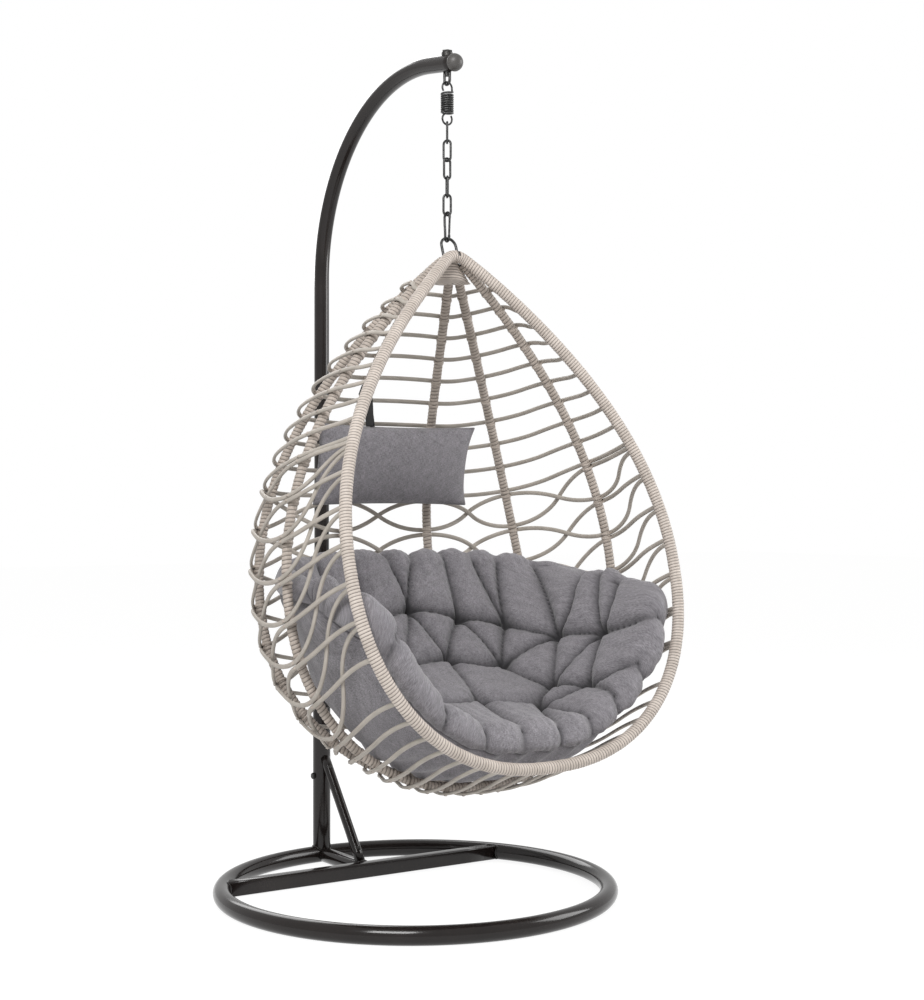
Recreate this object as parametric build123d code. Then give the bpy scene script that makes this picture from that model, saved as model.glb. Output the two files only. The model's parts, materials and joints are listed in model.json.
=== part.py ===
from build123d import *
import math
import os

# A hanging egg chair: a woven teardrop basket on a spring and chain, under a J-shaped stand.
# Millimetres, +Z up, the chair faces -Y, and the origin is on the floor in the middle of the base ring.

# Clearances
SEAT_GAP = 0.2        # between pieces of one body that seat on each other
HANG_GAP = 0.5        # between wires that hang in one another
SOFT_GAP = 0.3        # between soft pieces and what holds them
STRAND_GAP = 0.5      # between a strand and the member that it lies on

# Base of the stand
RING_OUTER = 950
RING_TUBE = 42
RING_FLAT = 0.5       # depth of the flat that the ring stands on
TUBE_WALL = 1.5
BAR_Y = 227
BAR_HEIGHT = 36
BAR_WIDTH = 30
FOOT_TUBE = 38
VENT_HOLE = 10        # where the base tubes join
SLEEVE_TUBE = 45
SLEEVE_TOP = 400
BRACE_TUBE = 25
BRACE_TOP = 263
BRACE_FOOT_Y = 262
BRACE_BOLT_INSET = 24
BRACE_BOLT = 6
LOCK_BOLT = 8
HEAD_RISE = 0.7       # height of a bolt head or nut, as a share of the bolt's diameter
LOCK_BOLT_Z = 223

# Arm of the stand
ARM_TUBE = 38
ARM_INSERT = 220      # length of arm inside the sleeve
ARM_BEND_Z = 1500
ARM_BEND_RADIUS = 450
ARM_BEND_SWEEP = 98
TIP_OVERHANG = 29.6   # from the eye bolt forward to the end of the arm
CAP_BALL = 41

# Hanger
CHAIN_Y = -133        # the chain hangs on the line X = 0, Y = CHAIN_Y
EYE_WIRE = 6.5
EYE_OUTER = 28
EYE_SHANK = 10
EYE_DROP = 49         # from the arm's axis down to the middle of the eye's lowest wire
NUT_ACROSS = 22
NUT_HEIGHT = 5
WASHER = 26
WASHER_THICK = 3
SPRING_WIRE = 4.5
SPRING_OUTER = 30.6
SPRING_TURNS = 9
SPRING_PITCH = 5.1
HOOK_RADIUS = 13
HOOK_RISE = 13        # from the coil's end to the middle of a hook
HOOK_TAIL = 40        # how far a hook goes on past half a turn, in degrees
LINK_WIRE = 5.5
LINK_OUTER = 23.5
LINK_LENGTH = 53
LINK_TURNS = (56, -59, 4, 66, -12)   # which way each link lies, from +X, in degrees
SNAP_WIRE = 6
SNAP_LENGTH = 72
SNAP_WIDE = 27
SNAP_NARROW = 22
GATE_WIRE = 5
TONGUE_THICK = 2.5     # the flat end of the gate, on its pin
TONGUE_WIDE = 4
GATE_PIN = 2.4
BAIL_WIRE = 6.5
BAIL_OUTER = 46
BAIL_LEAN = 20        # how far the bail's feet stand in front of its top

# Frame of the basket: heights are above the floor, and depths are behind the chain
APEX_Z = 1500
APEX_Y = -20
RIM_WRAP = 26.5
RIB_WRAP = 21.5
RIM_TUBE = 20
RIB_TUBE = 15
FRAME_WALL = 1.5
APEX_ROUND = 42       # length of each branch that the round of the apex takes up
CREST_SET = 0.4       # how far the crest goes back for each unit that it rises above the branches
FULLNESS = 2.25       # 2 makes the lower half an ellipse, more makes it squarer
MIDDLE_Y = -60        # the point that the weave lies around
MIDDLE_Z = 700
RIM = dict(half_width=428, waist_z=806, foot_z=366, foot_y=-374, bow=-54, bow_power=0.6, crown=2)
SIDE = dict(half_width=442, waist_z=745, foot_z=295, foot_y=-134, bow=42, bow_power=1, crown=2)
REAR = dict(half_width=374, waist_z=660, foot_z=300, foot_y=-20, bow=255, bow_power=1, crown=2)
BACK = dict(half_width=118, waist_z=800, bow=285, bow_power=1, crown=3)
KNOT_FOOT = (72, 40)  # half axes of the wrapped knot under the apex, at its foot and at its head
KNOT_HEAD = (24, 15)
KNOT_FOOT_Z = 1430
KNOT_HEAD_Z = 1478
KNOT_FOOT_Y = 12
KNOT_HEAD_Y = -8

# Weave: the heights where each frame member meets the first straight strand, the first and the last wave
STRAND_WIDE = 10.4
STRAND_THICK = 7.2
STRAIGHT_COUNT = 10
WAVE_COUNT = 7
FLOOR_COUNT = 17
STACK_GAP = 0.6       # between two strands side by side on a member
CROSS_GAP = 1.6       # between two strands where they cross
RIM_LEVELS = (1400, 1062, 540)
SIDE_LEVELS = (1408, 1015, 434)
REAR_LEVELS = (1404, 948, 390)
BACK_LEVELS = (1398, 936, 412)
LEFT_REACH = 2        # how many waves a diagonal strand climbs on its way to the rim
RIGHT_REACH = 1

# Cushions: each section of the seat cushion has its X, then the depth and height of its outer foot, middle
# and top and of its inner top, middle and foot
CUSHION_SECTIONS = (
    (0, (-350, 398), (-110, 313), (227, 764), (162, 788), (-25, 548), (-318, 456)),
    (200, (-345, 432), (-110, 349), (216, 762), (150, 786), (-32, 572), (-312, 492)),
    (310, (-330, 512), (-100, 424), (180, 752), (118, 776), (-62, 662), (-300, 600)),
    (375, (-312, 600), (-100, 532), (118, 730), (72, 768), (-100, 752), (-285, 712)),
    (400, (-290, 650), (-110, 622), (40, 720), (10, 758), (-130, 768), (-275, 735)),
)
CUSHION_BULGES = (0.09, 0.09, 0.42, -0.06, -0.05, 0.42)   # rise of each arc over its chord
CUSHION_BACK = 17.6    # set back and down until it rests on the side hoop and the back ribs
CUSHION_DOWN = 6.5
TUFT_BALL = 46
TUFT_DEPTH = 17
TUFT_FOCUS = (-150, 800)   # depth and height of the point that the tufts look at
TUFT_DIPS = (-20, 4, 28, 52, 76)   # rows from the front edge to the back, in degrees from straight down
TUFT_TURNS = ((-44, -15, 15, 44), (-30, 0, 30))   # places in every other row, in degrees to the side
PILLOW_X = -20
PILLOW_WIDE = 430
PILLOW_SET = 1         # forward of the line of the ribs, so that it rests on the nearer one
PILLOW_HIGH = 195
PILLOW_THICK = 92
PILLOW_SHAPE = ((0.5, 0.93, 0.11), (0.45, 0.97, 0.42), (0.34, 0.97, 0.78))   # shares of the three sizes
PILLOW_WAIST = 0.95    # height in the middle, as a share
PILLOW_Z = 1015
STRAP_WIDE = 24
STRAP_THICK = 2
STRAP_FOOT = 0.478     # height of the pillow's seam under the strap, above its middle, as a share
STRAP_STRAND = 5       # the strap hangs just below this straight strand, counted from the top

# Values that follow
ring_radius = (RING_OUTER - RING_TUBE) / 2
ring_z = RING_TUBE / 2 - RING_FLAT
arm_bend_y = ring_radius - ARM_BEND_RADIUS
droop = math.radians(ARM_BEND_SWEEP - 90)
bend_end = Vector(
    0,
    arm_bend_y - ARM_BEND_RADIUS * math.sin(droop),
    ARM_BEND_Z + ARM_BEND_RADIUS * math.cos(droop),
)
tip_direction = Vector(0, -math.cos(droop), -math.sin(droop))
arm_tip = (bend_end.Y - CHAIN_Y + TIP_OVERHANG) / math.cos(droop)   # straight run after the bend
arm_end = bend_end + tip_direction * arm_tip
arm_hang_z = bend_end.Z + (CHAIN_Y - bend_end.Y) * math.tan(droop)
eye_foot_z = arm_hang_z - EYE_DROP
hook_top_z = eye_foot_z + (EYE_WIRE + SPRING_WIRE) / 2 + HANG_GAP
spring_radius = (SPRING_OUTER - SPRING_WIRE) / 2
coil_top_z = hook_top_z - HOOK_RADIUS - HOOK_RISE
coil_foot_z = coil_top_z - SPRING_TURNS * SPRING_PITCH
hook_foot_z = coil_foot_z - HOOK_RISE - HOOK_RADIUS
link_top_z = hook_foot_z + (SPRING_WIRE + LINK_WIRE) / 2 + HANG_GAP
link_pitch = LINK_LENGTH - 2 * LINK_WIRE - HANG_GAP
last_link_foot_z = link_top_z - (len(LINK_TURNS) - 1) * link_pitch - (LINK_LENGTH - LINK_WIRE)
snap_top_z = last_link_foot_z + (LINK_WIRE + SNAP_WIRE) / 2 + HANG_GAP
snap_foot_z = snap_top_z - (SNAP_LENGTH - SNAP_WIRE)
bail_top_z = snap_foot_z + (SNAP_WIRE + BAIL_WIRE) / 2 + HANG_GAP
basket_middle = Vector(0, CHAIN_Y + MIDDLE_Y, MIDDLE_Z)


def biarc_corners(start, start_way, end, end_way):
    """The corners of two tangent arcs from start to end that leave and arrive along the given directions."""
    chord = end - start
    ways = start_way + end_way
    spread = 2 * (1 - start_way.dot(end_way))
    along = chord.dot(ways)
    if spread > 1e-6:
        reach = (math.sqrt(along**2 + spread * chord.dot(chord)) - along) / spread
    else:
        reach = chord.dot(chord) / (4 * chord.dot(end_way))
    return start + start_way * reach, end - end_way * reach


def biarc(start, start_way, end, end_way):
    low, high = biarc_corners(start, start_way, end, end_way)
    middle = (low + high) * 0.5
    return [smooth_edge(start, start_way, middle), smooth_edge(end, end_way * -1, middle)]


def smooth_edge(start, way, end):
    """The arc from start to end that leaves along way, or a line where that arc is straight."""
    if (end - start).normalized().cross(way).length < 1e-5:
        return Line(start, end)
    return TangentArc(start, end, tangent=way)


def smooth_path(points, ways):
    """A path of tangent arcs through points, along a unit direction at each."""
    edges = []
    for i in range(len(points) - 1):
        edges += biarc(points[i], ways[i], points[i + 1], ways[i + 1])
    return Wire(edges)


def tube(path, outer, wall=None):
    """A round bar along a path, or a tube where a wall is given."""
    section = Circle(outer / 2)
    if wall:
        section -= Circle(outer / 2 - wall)
    start = Plane(origin=path @ 0, z_dir=path % 0)
    return sweep(start * section, path=path)


def rod(start, end, diameter):
    """A plain round bar between two points."""
    direction = end - start
    return Plane(origin=start, z_dir=direction) * extrude(Circle(diameter / 2), direction.length)


def hollow_rod(start, end, outer, wall):
    """A straight tube between two points."""
    return rod(start, end, outer) - rod(start, end, outer - 2 * wall)


def largest(shape):
    return shape.solids().sort_by(SortBy.VOLUME)[-1]


# Stand
def ring_solid(spare=0):
    """The base ring's full outer shape, larger by spare."""
    return Pos(0, 0, ring_z) * Torus(ring_radius, RING_TUBE / 2 + spare)


def bar_half_length():
    return math.sqrt(ring_radius**2 - BAR_Y**2)


def base_ring():
    ring = ring_solid() - Pos(0, 0, ring_z) * Torus(ring_radius, RING_TUBE / 2 - TUBE_WALL)
    floor_cut = Pos(0, 0, -RING_TUBE / 2) * Box(2 * RING_OUTER, 2 * RING_OUTER, RING_TUBE)
    ring -= floor_cut
    for side in (-1, 1):
        joint = Vector(side * bar_half_length(), BAR_Y, ring_z)
        ring -= rod(joint - Vector(side * RING_TUBE, 0, 0), joint, VENT_HOLE)
    return ring


def cross_bar():
    size = 2 * bar_half_length()
    bar = Box(size, BAR_WIDTH, BAR_HEIGHT)
    bar -= Box(size, BAR_WIDTH - 2 * TUBE_WALL, BAR_HEIGHT - 2 * TUBE_WALL)
    return Pos(0, BAR_Y, ring_z) * bar - ring_solid(SEAT_GAP)


def foot_tube():
    front = Vector(0, BAR_Y + BAR_WIDTH / 2, ring_z)
    foot = hollow_rod(front, Vector(0, ring_radius, ring_z), FOOT_TUBE, TUBE_WALL)
    return largest(foot - ring_solid(SEAT_GAP) - sleeve_solid(SEAT_GAP))


def sleeve_solid(spare=0):
    """The post sleeve's full outer shape, larger by spare."""
    foot = Vector(0, ring_radius, ring_z)
    return rod(foot, Vector(0, ring_radius, SLEEVE_TOP), SLEEVE_TUBE + 2 * spare)


def lock_hole():
    reach = Vector(SLEEVE_TUBE, 0, 0)
    middle = Vector(0, ring_radius, LOCK_BOLT_Z)
    return rod(middle - reach, middle + reach, LOCK_BOLT + 2 * SEAT_GAP)


def post_sleeve():
    bore = rod(Vector(0, ring_radius, 0), Vector(0, ring_radius, SLEEVE_TOP), ARM_TUBE + 2 * SEAT_GAP)
    return sleeve_solid() - bore - ring_solid(SEAT_GAP) - lock_hole()


def brace_ends():
    head = Vector(0, ring_radius - SLEEVE_TUBE / 2, BRACE_TOP)
    foot = Vector(0, BRACE_FOOT_Y, ring_z + FOOT_TUBE / 2)
    return foot, head


def brace_bolts():
    """Seats and directions of the bolts near the brace's two ends, on its front."""
    foot, head = brace_ends()
    run = (head - foot).normalized()
    out = run.cross(Vector(1, 0, 0)).normalized()
    out = out if out.Y < 0 else out * -1
    return [(end + run * inset + out * (BRACE_TUBE / 2), out)
            for end, inset in ((foot, BRACE_BOLT_INSET), (head, -BRACE_BOLT_INSET))]


def brace_tube():
    foot, head = brace_ends()
    run = (head - foot).normalized() * BRACE_TUBE
    brace = hollow_rod(foot - run, head + run, BRACE_TUBE, TUBE_WALL)
    brace -= sleeve_solid(SEAT_GAP)
    brace -= rod(Vector(0, 0, ring_z), Vector(0, ring_radius, ring_z), FOOT_TUBE + 2 * SEAT_GAP)
    below = Pos(0, ring_radius / 2, -ring_z) * Box(RING_OUTER, RING_OUTER, 4 * ring_z)
    brace -= below
    for seat, out in brace_bolts():
        brace -= rod(seat - out * BRACE_TUBE / 2, seat + out, BRACE_BOLT + 2 * SEAT_GAP)
    return largest(brace)


def brace_bolt(index):
    seat, out = brace_bolts()[index]
    shank = rod(seat - out * (TUBE_WALL + BRACE_BOLT), seat, BRACE_BOLT)
    head = Plane(origin=seat, z_dir=out) * Cone(BRACE_BOLT, BRACE_BOLT / 2, BRACE_BOLT * HEAD_RISE,
                                                align=(Align.CENTER, Align.CENTER, Align.MIN))
    return shank + head


def arm_path():
    foot = Vector(0, ring_radius, SLEEVE_TOP - ARM_INSERT)
    shoulder = Vector(0, ring_radius, ARM_BEND_Z)
    return Wire([
        Line(foot, shoulder),
        TangentArc(shoulder, bend_end, tangent=Vector(0, 0, 1)),
        Line(bend_end, arm_end),
    ])


def eye_hole(spare):
    foot = Vector(0, CHAIN_Y, arm_hang_z - ARM_TUBE)
    head = Vector(0, CHAIN_Y, arm_hang_z + ARM_TUBE)
    return rod(foot, head, EYE_SHANK + 2 * spare)


def arm_tube():
    return tube(arm_path(), ARM_TUBE, TUBE_WALL) - eye_hole(SEAT_GAP) - lock_hole()


def arm_end_cap():
    ball = Pos(arm_end) * Sphere(CAP_BALL / 2)
    plug = rod(arm_end - tip_direction * CAP_BALL / 2, arm_end, ARM_TUBE - 2 * TUBE_WALL - 2 * SEAT_GAP)
    back = Plane(origin=arm_end, z_dir=tip_direction)
    return split(ball, bisect_by=back, keep=Keep.TOP) + plug


def lock_bolt():
    middle = Vector(0, ring_radius, LOCK_BOLT_Z)
    face = SLEEVE_TUBE / 2
    shank = rod(middle - Vector(face, 0, 0), middle + Vector(face + 2 * LOCK_BOLT, 0, 0), LOCK_BOLT)
    head_plane = Plane(origin=middle - Vector(face, 0, 0), z_dir=(-1, 0, 0))
    head = head_plane * extrude(RegularPolygon(LOCK_BOLT, 6), LOCK_BOLT * HEAD_RISE)
    return shank + head


def lock_nut():
    face = Vector(SLEEVE_TUBE / 2, ring_radius, LOCK_BOLT_Z)
    nut = Plane(origin=face, z_dir=(1, 0, 0)) * extrude(RegularPolygon(LOCK_BOLT, 6), LOCK_BOLT * HEAD_RISE)
    return nut - rod(face, face + Vector(LOCK_BOLT, 0, 0), LOCK_BOLT + 2 * SEAT_GAP)


# Hanger
def washer_top_z():
    return arm_hang_z + ARM_TUBE / 2 / math.cos(droop) + WASHER / 2 * math.tan(droop) + WASHER_THICK


def eye_bolt():
    radius = (EYE_OUTER - EYE_WIRE) / 2
    eye = Pos(0, CHAIN_Y, eye_foot_z + radius) * Rot(0, 90, 0) * Torus(radius, EYE_WIRE / 2)
    shank_foot = Vector(0, CHAIN_Y, eye_foot_z + 2 * radius)
    shank = rod(shank_foot, Vector(0, CHAIN_Y, washer_top_z() + NUT_HEIGHT), EYE_SHANK)
    return eye + shank


def arm_outer(spare):
    return rod(bend_end - tip_direction * arm_tip, arm_end, ARM_TUBE + 2 * spare)


def eye_washer():
    foot = Vector(0, CHAIN_Y, arm_hang_z)
    washer = rod(foot, Vector(0, CHAIN_Y, washer_top_z()), WASHER)
    return washer - arm_outer(SEAT_GAP) - eye_hole(SEAT_GAP)


def eye_nut():
    seat = Plane(origin=(0, CHAIN_Y, washer_top_z()))
    nut = seat * extrude(RegularPolygon(NUT_ACROSS / 2, 6, major_radius=False), NUT_HEIGHT)
    return nut - eye_hole(SEAT_GAP)


def spring_path():
    """Close turns of wire with an open hook at each end, as half turns of tangent arcs."""
    rise = SPRING_PITCH / 2
    slope = rise / (math.pi * spring_radius)
    flat = 1 / math.hypot(1, slope)
    points = []
    ways = []
    half_turns = 2 * SPRING_TURNS
    for i in range(half_turns + 1):
        angle = math.pi * i - math.pi / 2
        points.append(Vector(math.cos(angle) * spring_radius, CHAIN_Y + math.sin(angle) * spring_radius,
                             coil_foot_z + i * rise))
        ways.append(Vector(-math.sin(angle) * flat, math.cos(angle) * flat, slope * flat))
    up = Vector(0, 0, 1)
    top = coil_top_z + HOOK_RISE
    foot = coil_foot_z - HOOK_RISE
    hook_tail = math.radians(HOOK_TAIL)
    tail = Vector(math.cos(hook_tail) * HOOK_RADIUS, 0, math.sin(hook_tail) * HOOK_RADIUS)
    tail_way = Vector(math.sin(hook_tail), 0, math.cos(hook_tail))
    axis = Vector(0, CHAIN_Y, 0)
    head_points = [axis + Vector(HOOK_RADIUS, 0, top), axis + Vector(0, 0, top + HOOK_RADIUS),
                   axis + Vector(-HOOK_RADIUS, 0, top), axis + Vector(-tail.X, 0, top - tail.Z)]
    head_ways = [up, Vector(-1, 0, 0), up * -1, Vector(tail_way.X, 0, -tail_way.Z)]
    foot_points = [axis + Vector(tail.X, 0, foot + tail.Z), axis + Vector(HOOK_RADIUS, 0, foot),
                   axis + Vector(0, 0, foot - HOOK_RADIUS), axis + Vector(-HOOK_RADIUS, 0, foot)]
    foot_ways = [Vector(tail_way.X, 0, -tail_way.Z), up * -1, Vector(-1, 0, 0), up]
    return smooth_path(foot_points + points + head_points, foot_ways + ways + head_ways)


def least_gap(path, wire, steps=600):
    """The least clear distance between stretches of one wire that lie more than two diameters apart on it."""
    skip = int(2 * wire / path.length * steps) + 1
    points = [path @ (i / steps) for i in range(steps + 1)]
    best = math.inf
    for i, point in enumerate(points):
        for other in points[i + 2 * skip:]:
            best = min(best, (point - other).length)
    return best - wire


def suspension_spring():
    path = spring_path()
    print("spring: least gap to itself", round(least_gap(path, SPRING_WIRE), 2), "mm")
    return tube(path, SPRING_WIRE)


def chain_link(index):
    """An oval link: two half rings and two straight sides."""
    radius = (LINK_OUTER - LINK_WIRE) / 2
    half = LINK_LENGTH / 2 - LINK_WIRE / 2 - radius
    ring = Rot(90, 0, 0) * Torus(radius, LINK_WIRE / 2)
    upper = split(ring, bisect_by=Plane.XY, keep=Keep.TOP)
    lower = split(ring, bisect_by=Plane.XY, keep=Keep.BOTTOM)
    link = Pos(0, 0, half) * upper + Pos(0, 0, -half) * lower
    for side in (-1, 1):
        link += rod(Vector(side * radius, 0, -half), Vector(side * radius, 0, half), LINK_WIRE)
    middle_z = link_top_z - index * link_pitch - (LINK_LENGTH - LINK_WIRE) / 2
    return Pos(0, CHAIN_Y, middle_z) * Rot(0, 0, LINK_TURNS[index]) * link


def snap_radii():
    return (SNAP_WIDE - SNAP_WIRE) / 2, (SNAP_NARROW - SNAP_WIRE) / 2


def snap_point(y, z):
    return Vector(0, CHAIN_Y + y, z)


def gate_ends():
    """The gate's pin and the nose that it closes on, on the hook's front side."""
    wide, narrow = snap_radii()
    top = snap_top_z - wide
    foot = snap_foot_z + narrow
    pin = snap_point(-narrow, foot + SNAP_WIRE / 2)
    nose = snap_point(-wide, top - SNAP_WIRE / 2)
    return pin, nose


def snap_hook_body():
    """A pear-shaped hook: wide at the top, narrow at the foot, open on the front for its gate."""
    wide, narrow = snap_radii()
    top = snap_top_z - wide
    foot = snap_foot_z + narrow
    pin, nose = gate_ends()
    up = Vector(0, 0, 1)
    points = [pin + up * SNAP_WIRE / 2, snap_point(-narrow, foot), snap_point(0, snap_foot_z),
              snap_point(narrow, foot), snap_point(wide, top), snap_point(0, snap_top_z),
              snap_point(-wide, top), nose]
    ways = [up * -1, up * -1, Vector(0, 1, 0), up, up, Vector(0, -1, 0), up * -1, up * -1]
    body = tube(smooth_path(points, ways), SNAP_WIRE)
    slot = Box(TONGUE_THICK + 2 * SEAT_GAP, 2 * SNAP_WIRE, 2 * SNAP_WIRE)
    body -= Pos(pin + up * SNAP_WIRE / 2) * slot
    return body - rod(pin - Vector(SNAP_WIRE, 0, 0), pin + Vector(SNAP_WIRE, 0, 0), GATE_PIN + 2 * SEAT_GAP)


def snap_hook_pin():
    pin, nose = gate_ends()
    half = Vector(SNAP_WIRE / 2 + SEAT_GAP, 0, 0)
    return rod(pin - half, pin + half, GATE_PIN)


def snap_hook_gate():
    """A round gate from the nose down to a flat tongue on the pin."""
    pin, nose = gate_ends()
    run = (nose - pin).normalized()
    stop = nose - run * HANG_GAP
    start = pin + run * (SNAP_WIRE + 2 * SEAT_GAP)
    gate = rod(start, stop, GATE_WIRE)
    tongue_plane = Plane(origin=pin, x_dir=(1, 0, 0), z_dir=run)
    tongue = tongue_plane * Box(TONGUE_THICK, TONGUE_WIDE, (start - pin).length,
                                align=(Align.CENTER, Align.CENTER, Align.MIN))
    half = Vector(TONGUE_THICK / 2, 0, 0)
    eye = rod(pin - half, pin + half, TONGUE_WIDE)
    bore = rod(pin - Vector(SNAP_WIRE, 0, 0), pin + Vector(SNAP_WIRE, 0, 0), GATE_PIN + 2 * SEAT_GAP)
    trim = Plane(origin=stop, z_dir=Vector(0, 0, 1))
    return split(gate + tongue + eye - bore, bisect_by=trim, keep=Keep.BOTTOM)


# Frame of the basket
class Member:
    """One bent tube of the basket's frame, known by its length along the curve from the apex."""

    samples = 300

    def __init__(self, diameter, half_width, waist_z, foot_z, foot_y, bow, bow_power, crown, straight=False):
        self.diameter = diameter
        self.shape = (half_width, waist_z, foot_z, foot_y, bow, bow_power, crown)
        self.straight = straight
        self.points = [self.trace(i / self.samples) for i in range(2 * self.samples + 1)]
        self.lengths = [0]
        for before, after in zip(self.points, self.points[1:]):
            self.lengths.append(self.lengths[-1] + (after - before).length)
        self.length = self.lengths[-1]

    def trace(self, t):
        """A point on the right half: t runs from 0 at the apex to 1 at the waist and 2 at the foot."""
        half_width, waist_z, foot_z, foot_y, bow, bow_power, crown = self.shape
        if t <= 1:
            x = half_width * (1 - (1 - t) ** crown)
            z = waist_z + (1 - t) * (APEX_Z - waist_z)
        elif self.straight:
            x = half_width
            z = waist_z - (t - 1) * (waist_z - foot_z)
        else:
            angle = min(t - 1, 1) * math.pi / 2
            x = half_width * max(math.cos(angle), 0) ** (2 / FULLNESS)
            z = waist_z - (waist_z - foot_z) * math.sin(angle) ** (2 / FULLNESS)
        fall = min((APEX_Z - z) / (APEX_Z - foot_z), 1)
        y = APEX_Y + (foot_y - APEX_Y) * fall + bow * (4 * fall * (1 - fall)) ** bow_power
        return Vector(x, CHAIN_Y + y, z)

    def at(self, length, side):
        """The point at a length from the apex, on the right (side 1) or the left (side -1)."""
        length = min(max(length, 0), self.length)
        low, high = 0, len(self.lengths) - 1
        while high - low > 1:
            middle = (low + high) // 2
            if self.lengths[middle] <= length:
                low = middle
            else:
                high = middle
        share = (length - self.lengths[low]) / (self.lengths[high] - self.lengths[low])
        point = self.points[low] + (self.points[high] - self.points[low]) * share
        return Vector(side * point.X, point.Y, point.Z)

    def way(self, length, side):
        """The unit direction down the curve."""
        step = 2
        low = max(length - step, 0)
        high = min(length + step, self.length)
        return (self.at(high, side) - self.at(low, side)).normalized()

    def out(self, length, side):
        """The unit direction out of the basket, square to the curve."""
        way = self.way(length, side)
        away = self.at(length, side) - basket_middle
        return (away - way * away.dot(way)).normalized()

    def level(self, z):
        """The length from the apex at which the curve comes down to a height."""
        for point, length in zip(self.points, self.lengths):
            if point.Z <= z:
                return length
        return self.length


rim = Member(RIM_WRAP, **RIM)
side_hoop = Member(RIB_WRAP, **SIDE)
rear_hoop = Member(RIB_WRAP, **REAR)
rear_seat = next(p for p in reversed(rear_hoop.points) if p.X >= BACK["half_width"])
back_rib = Member(RIB_WRAP, **BACK, foot_z=rear_seat.Z, foot_y=rear_seat.Y - CHAIN_Y, straight=True)


def stations(start, end, count):
    return [start + (end - start) * i / count for i in range(count + 1)]


def hoop_path(member, start, count=14):
    """The whole loop of a member, from a length on its right branch round to the same on its left."""
    half = stations(start, member.length, count)
    points = [member.at(s, 1) for s in half]
    ways = [member.way(s, 1) for s in half]
    ways[-1] = Vector(-1, 0, 0)
    for s in reversed(half[:-1]):
        points.append(member.at(s, -1))
        ways.append(member.way(s, -1) * -1)
    return points, ways


def rim_path():
    """The rim as one loop that starts and ends at a butt joint on the crest of its apex."""
    points, ways = hoop_path(rim, APEX_ROUND)
    shoulder = points[0]
    down = ways[0]
    rise = math.tan(math.acos(min(down.X, 1)) / 2) * shoulder.X
    crest = Vector(0, shoulder.Y + rise * CREST_SET, shoulder.Z + rise)
    joint = Vector(SEAT_GAP / 2, 0, 0)
    across = Vector(1, 0, 0)
    return smooth_path([crest + joint] + points + [crest - joint], [across] + ways + [across])


def rib_path(side, count=12):
    half = stations(back_rib.level(KNOT_HEAD_Z), back_rib.length, count)
    return smooth_path([back_rib.at(s, side) for s in half], [back_rib.way(s, side) for s in half])


def apex_knot(spare=0):
    """The wrapped knot under the apex that takes the upper ends of the hoops and ribs."""
    foot = Ellipse(KNOT_FOOT[0] + spare, KNOT_FOOT[1] + spare)
    head = Ellipse(KNOT_HEAD[0] + spare, KNOT_HEAD[1] + spare)
    return loft([
        Pos(0, CHAIN_Y + KNOT_FOOT_Y, KNOT_FOOT_Z - spare) * foot,
        Pos(0, CHAIN_Y + KNOT_HEAD_Y, KNOT_HEAD_Z + spare) * head,
    ])


def wrapped(path, wrap, core, cuts):
    """The steel tube and the wrap of one member, both cut back where it meets others."""
    core_tube = tube(path, core, FRAME_WALL)
    sleeve = tube(path, wrap) - tube(path, core + 2 * SEAT_GAP)
    for cut in cuts:
        core_tube -= cut
        sleeve -= cut
    return largest(core_tube), largest(sleeve)


def bail():
    """The steel loop welded on the apex, which hangs in the snap hook."""
    radius = (BAIL_OUTER - BAIL_WIRE) / 2
    top = Vector(0, CHAIN_Y, bail_top_z)
    rise = bail_top_z - rim.at(APEX_ROUND, 1).Z
    lean = Vector(0, BAIL_LEAN, rise).normalized()
    middle = top - lean * radius
    across = Vector(radius, 0, 0)
    foot = lean * (rise - radius)
    points = [middle + across - foot, middle + across, top, middle - across, middle - across - foot]
    ways = [lean, lean, Vector(-1, 0, 0), lean * -1, lean * -1]
    loop = tube(smooth_path(points, ways), BAIL_WIRE)
    return largest(loop - tube(rim_path(), RIM_WRAP + 2 * SEAT_GAP))


# Weave
def strand(points, ways, out):
    """One flat oval strand through the points, with its flat side along the basket."""
    start = Plane(origin=points[0], x_dir=ways[0].cross(out), z_dir=ways[0])
    section = start * Ellipse(STRAND_WIDE / 2, STRAND_THICK / 2)
    return sweep(section, path=smooth_path(points, ways))


def wave_levels(member, heights):
    """Lengths of the straight strands and of the wave nodes on one member."""
    first, top, last = (member.level(z) for z in heights)
    return stations(first, top, STRAIGHT_COUNT - 1), stations(top, last, WAVE_COUNT)


def member_levels():
    members = ((rim, RIM_LEVELS), (side_hoop, SIDE_LEVELS), (rear_hoop, REAR_LEVELS), (back_rib, BACK_LEVELS))
    return [wave_levels(member, heights) for member, heights in members]


class Stop:
    """A place where a strand crosses a member on the outside."""

    def __init__(self, member, length, side):
        self.out = member.out(length, side)
        lift = member.diameter / 2 + STRAND_THICK / 2 + STRAND_GAP
        self.point = member.at(length, side) + self.out * lift
        self.way = None

    def head(self, way):
        """Points the strand along a direction, flush with the member."""
        self.way = (way - self.out * way.dot(self.out)).normalized()


class End:
    """A place where a strand ends on a member, seen from the strand's last stop."""

    def __init__(self, member, length, side, last_stop):
        centre = member.at(length, side)
        along = member.way(length, side)
        inward = last_stop - centre
        self.way = (inward - along * inward.dot(along)).normalized()
        out = member.out(length, side)
        self.out = (out - self.way * out.dot(self.way)).normalized()
        self.point = centre + self.way * (member.diameter / 2 + STRAND_GAP)


def route(places):
    """Points a strand at each stop from the place before it to the place after it."""
    for before, stop, after in zip(places, places[1:], places[2:]):
        stop.head(after.point - before.point)


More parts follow.
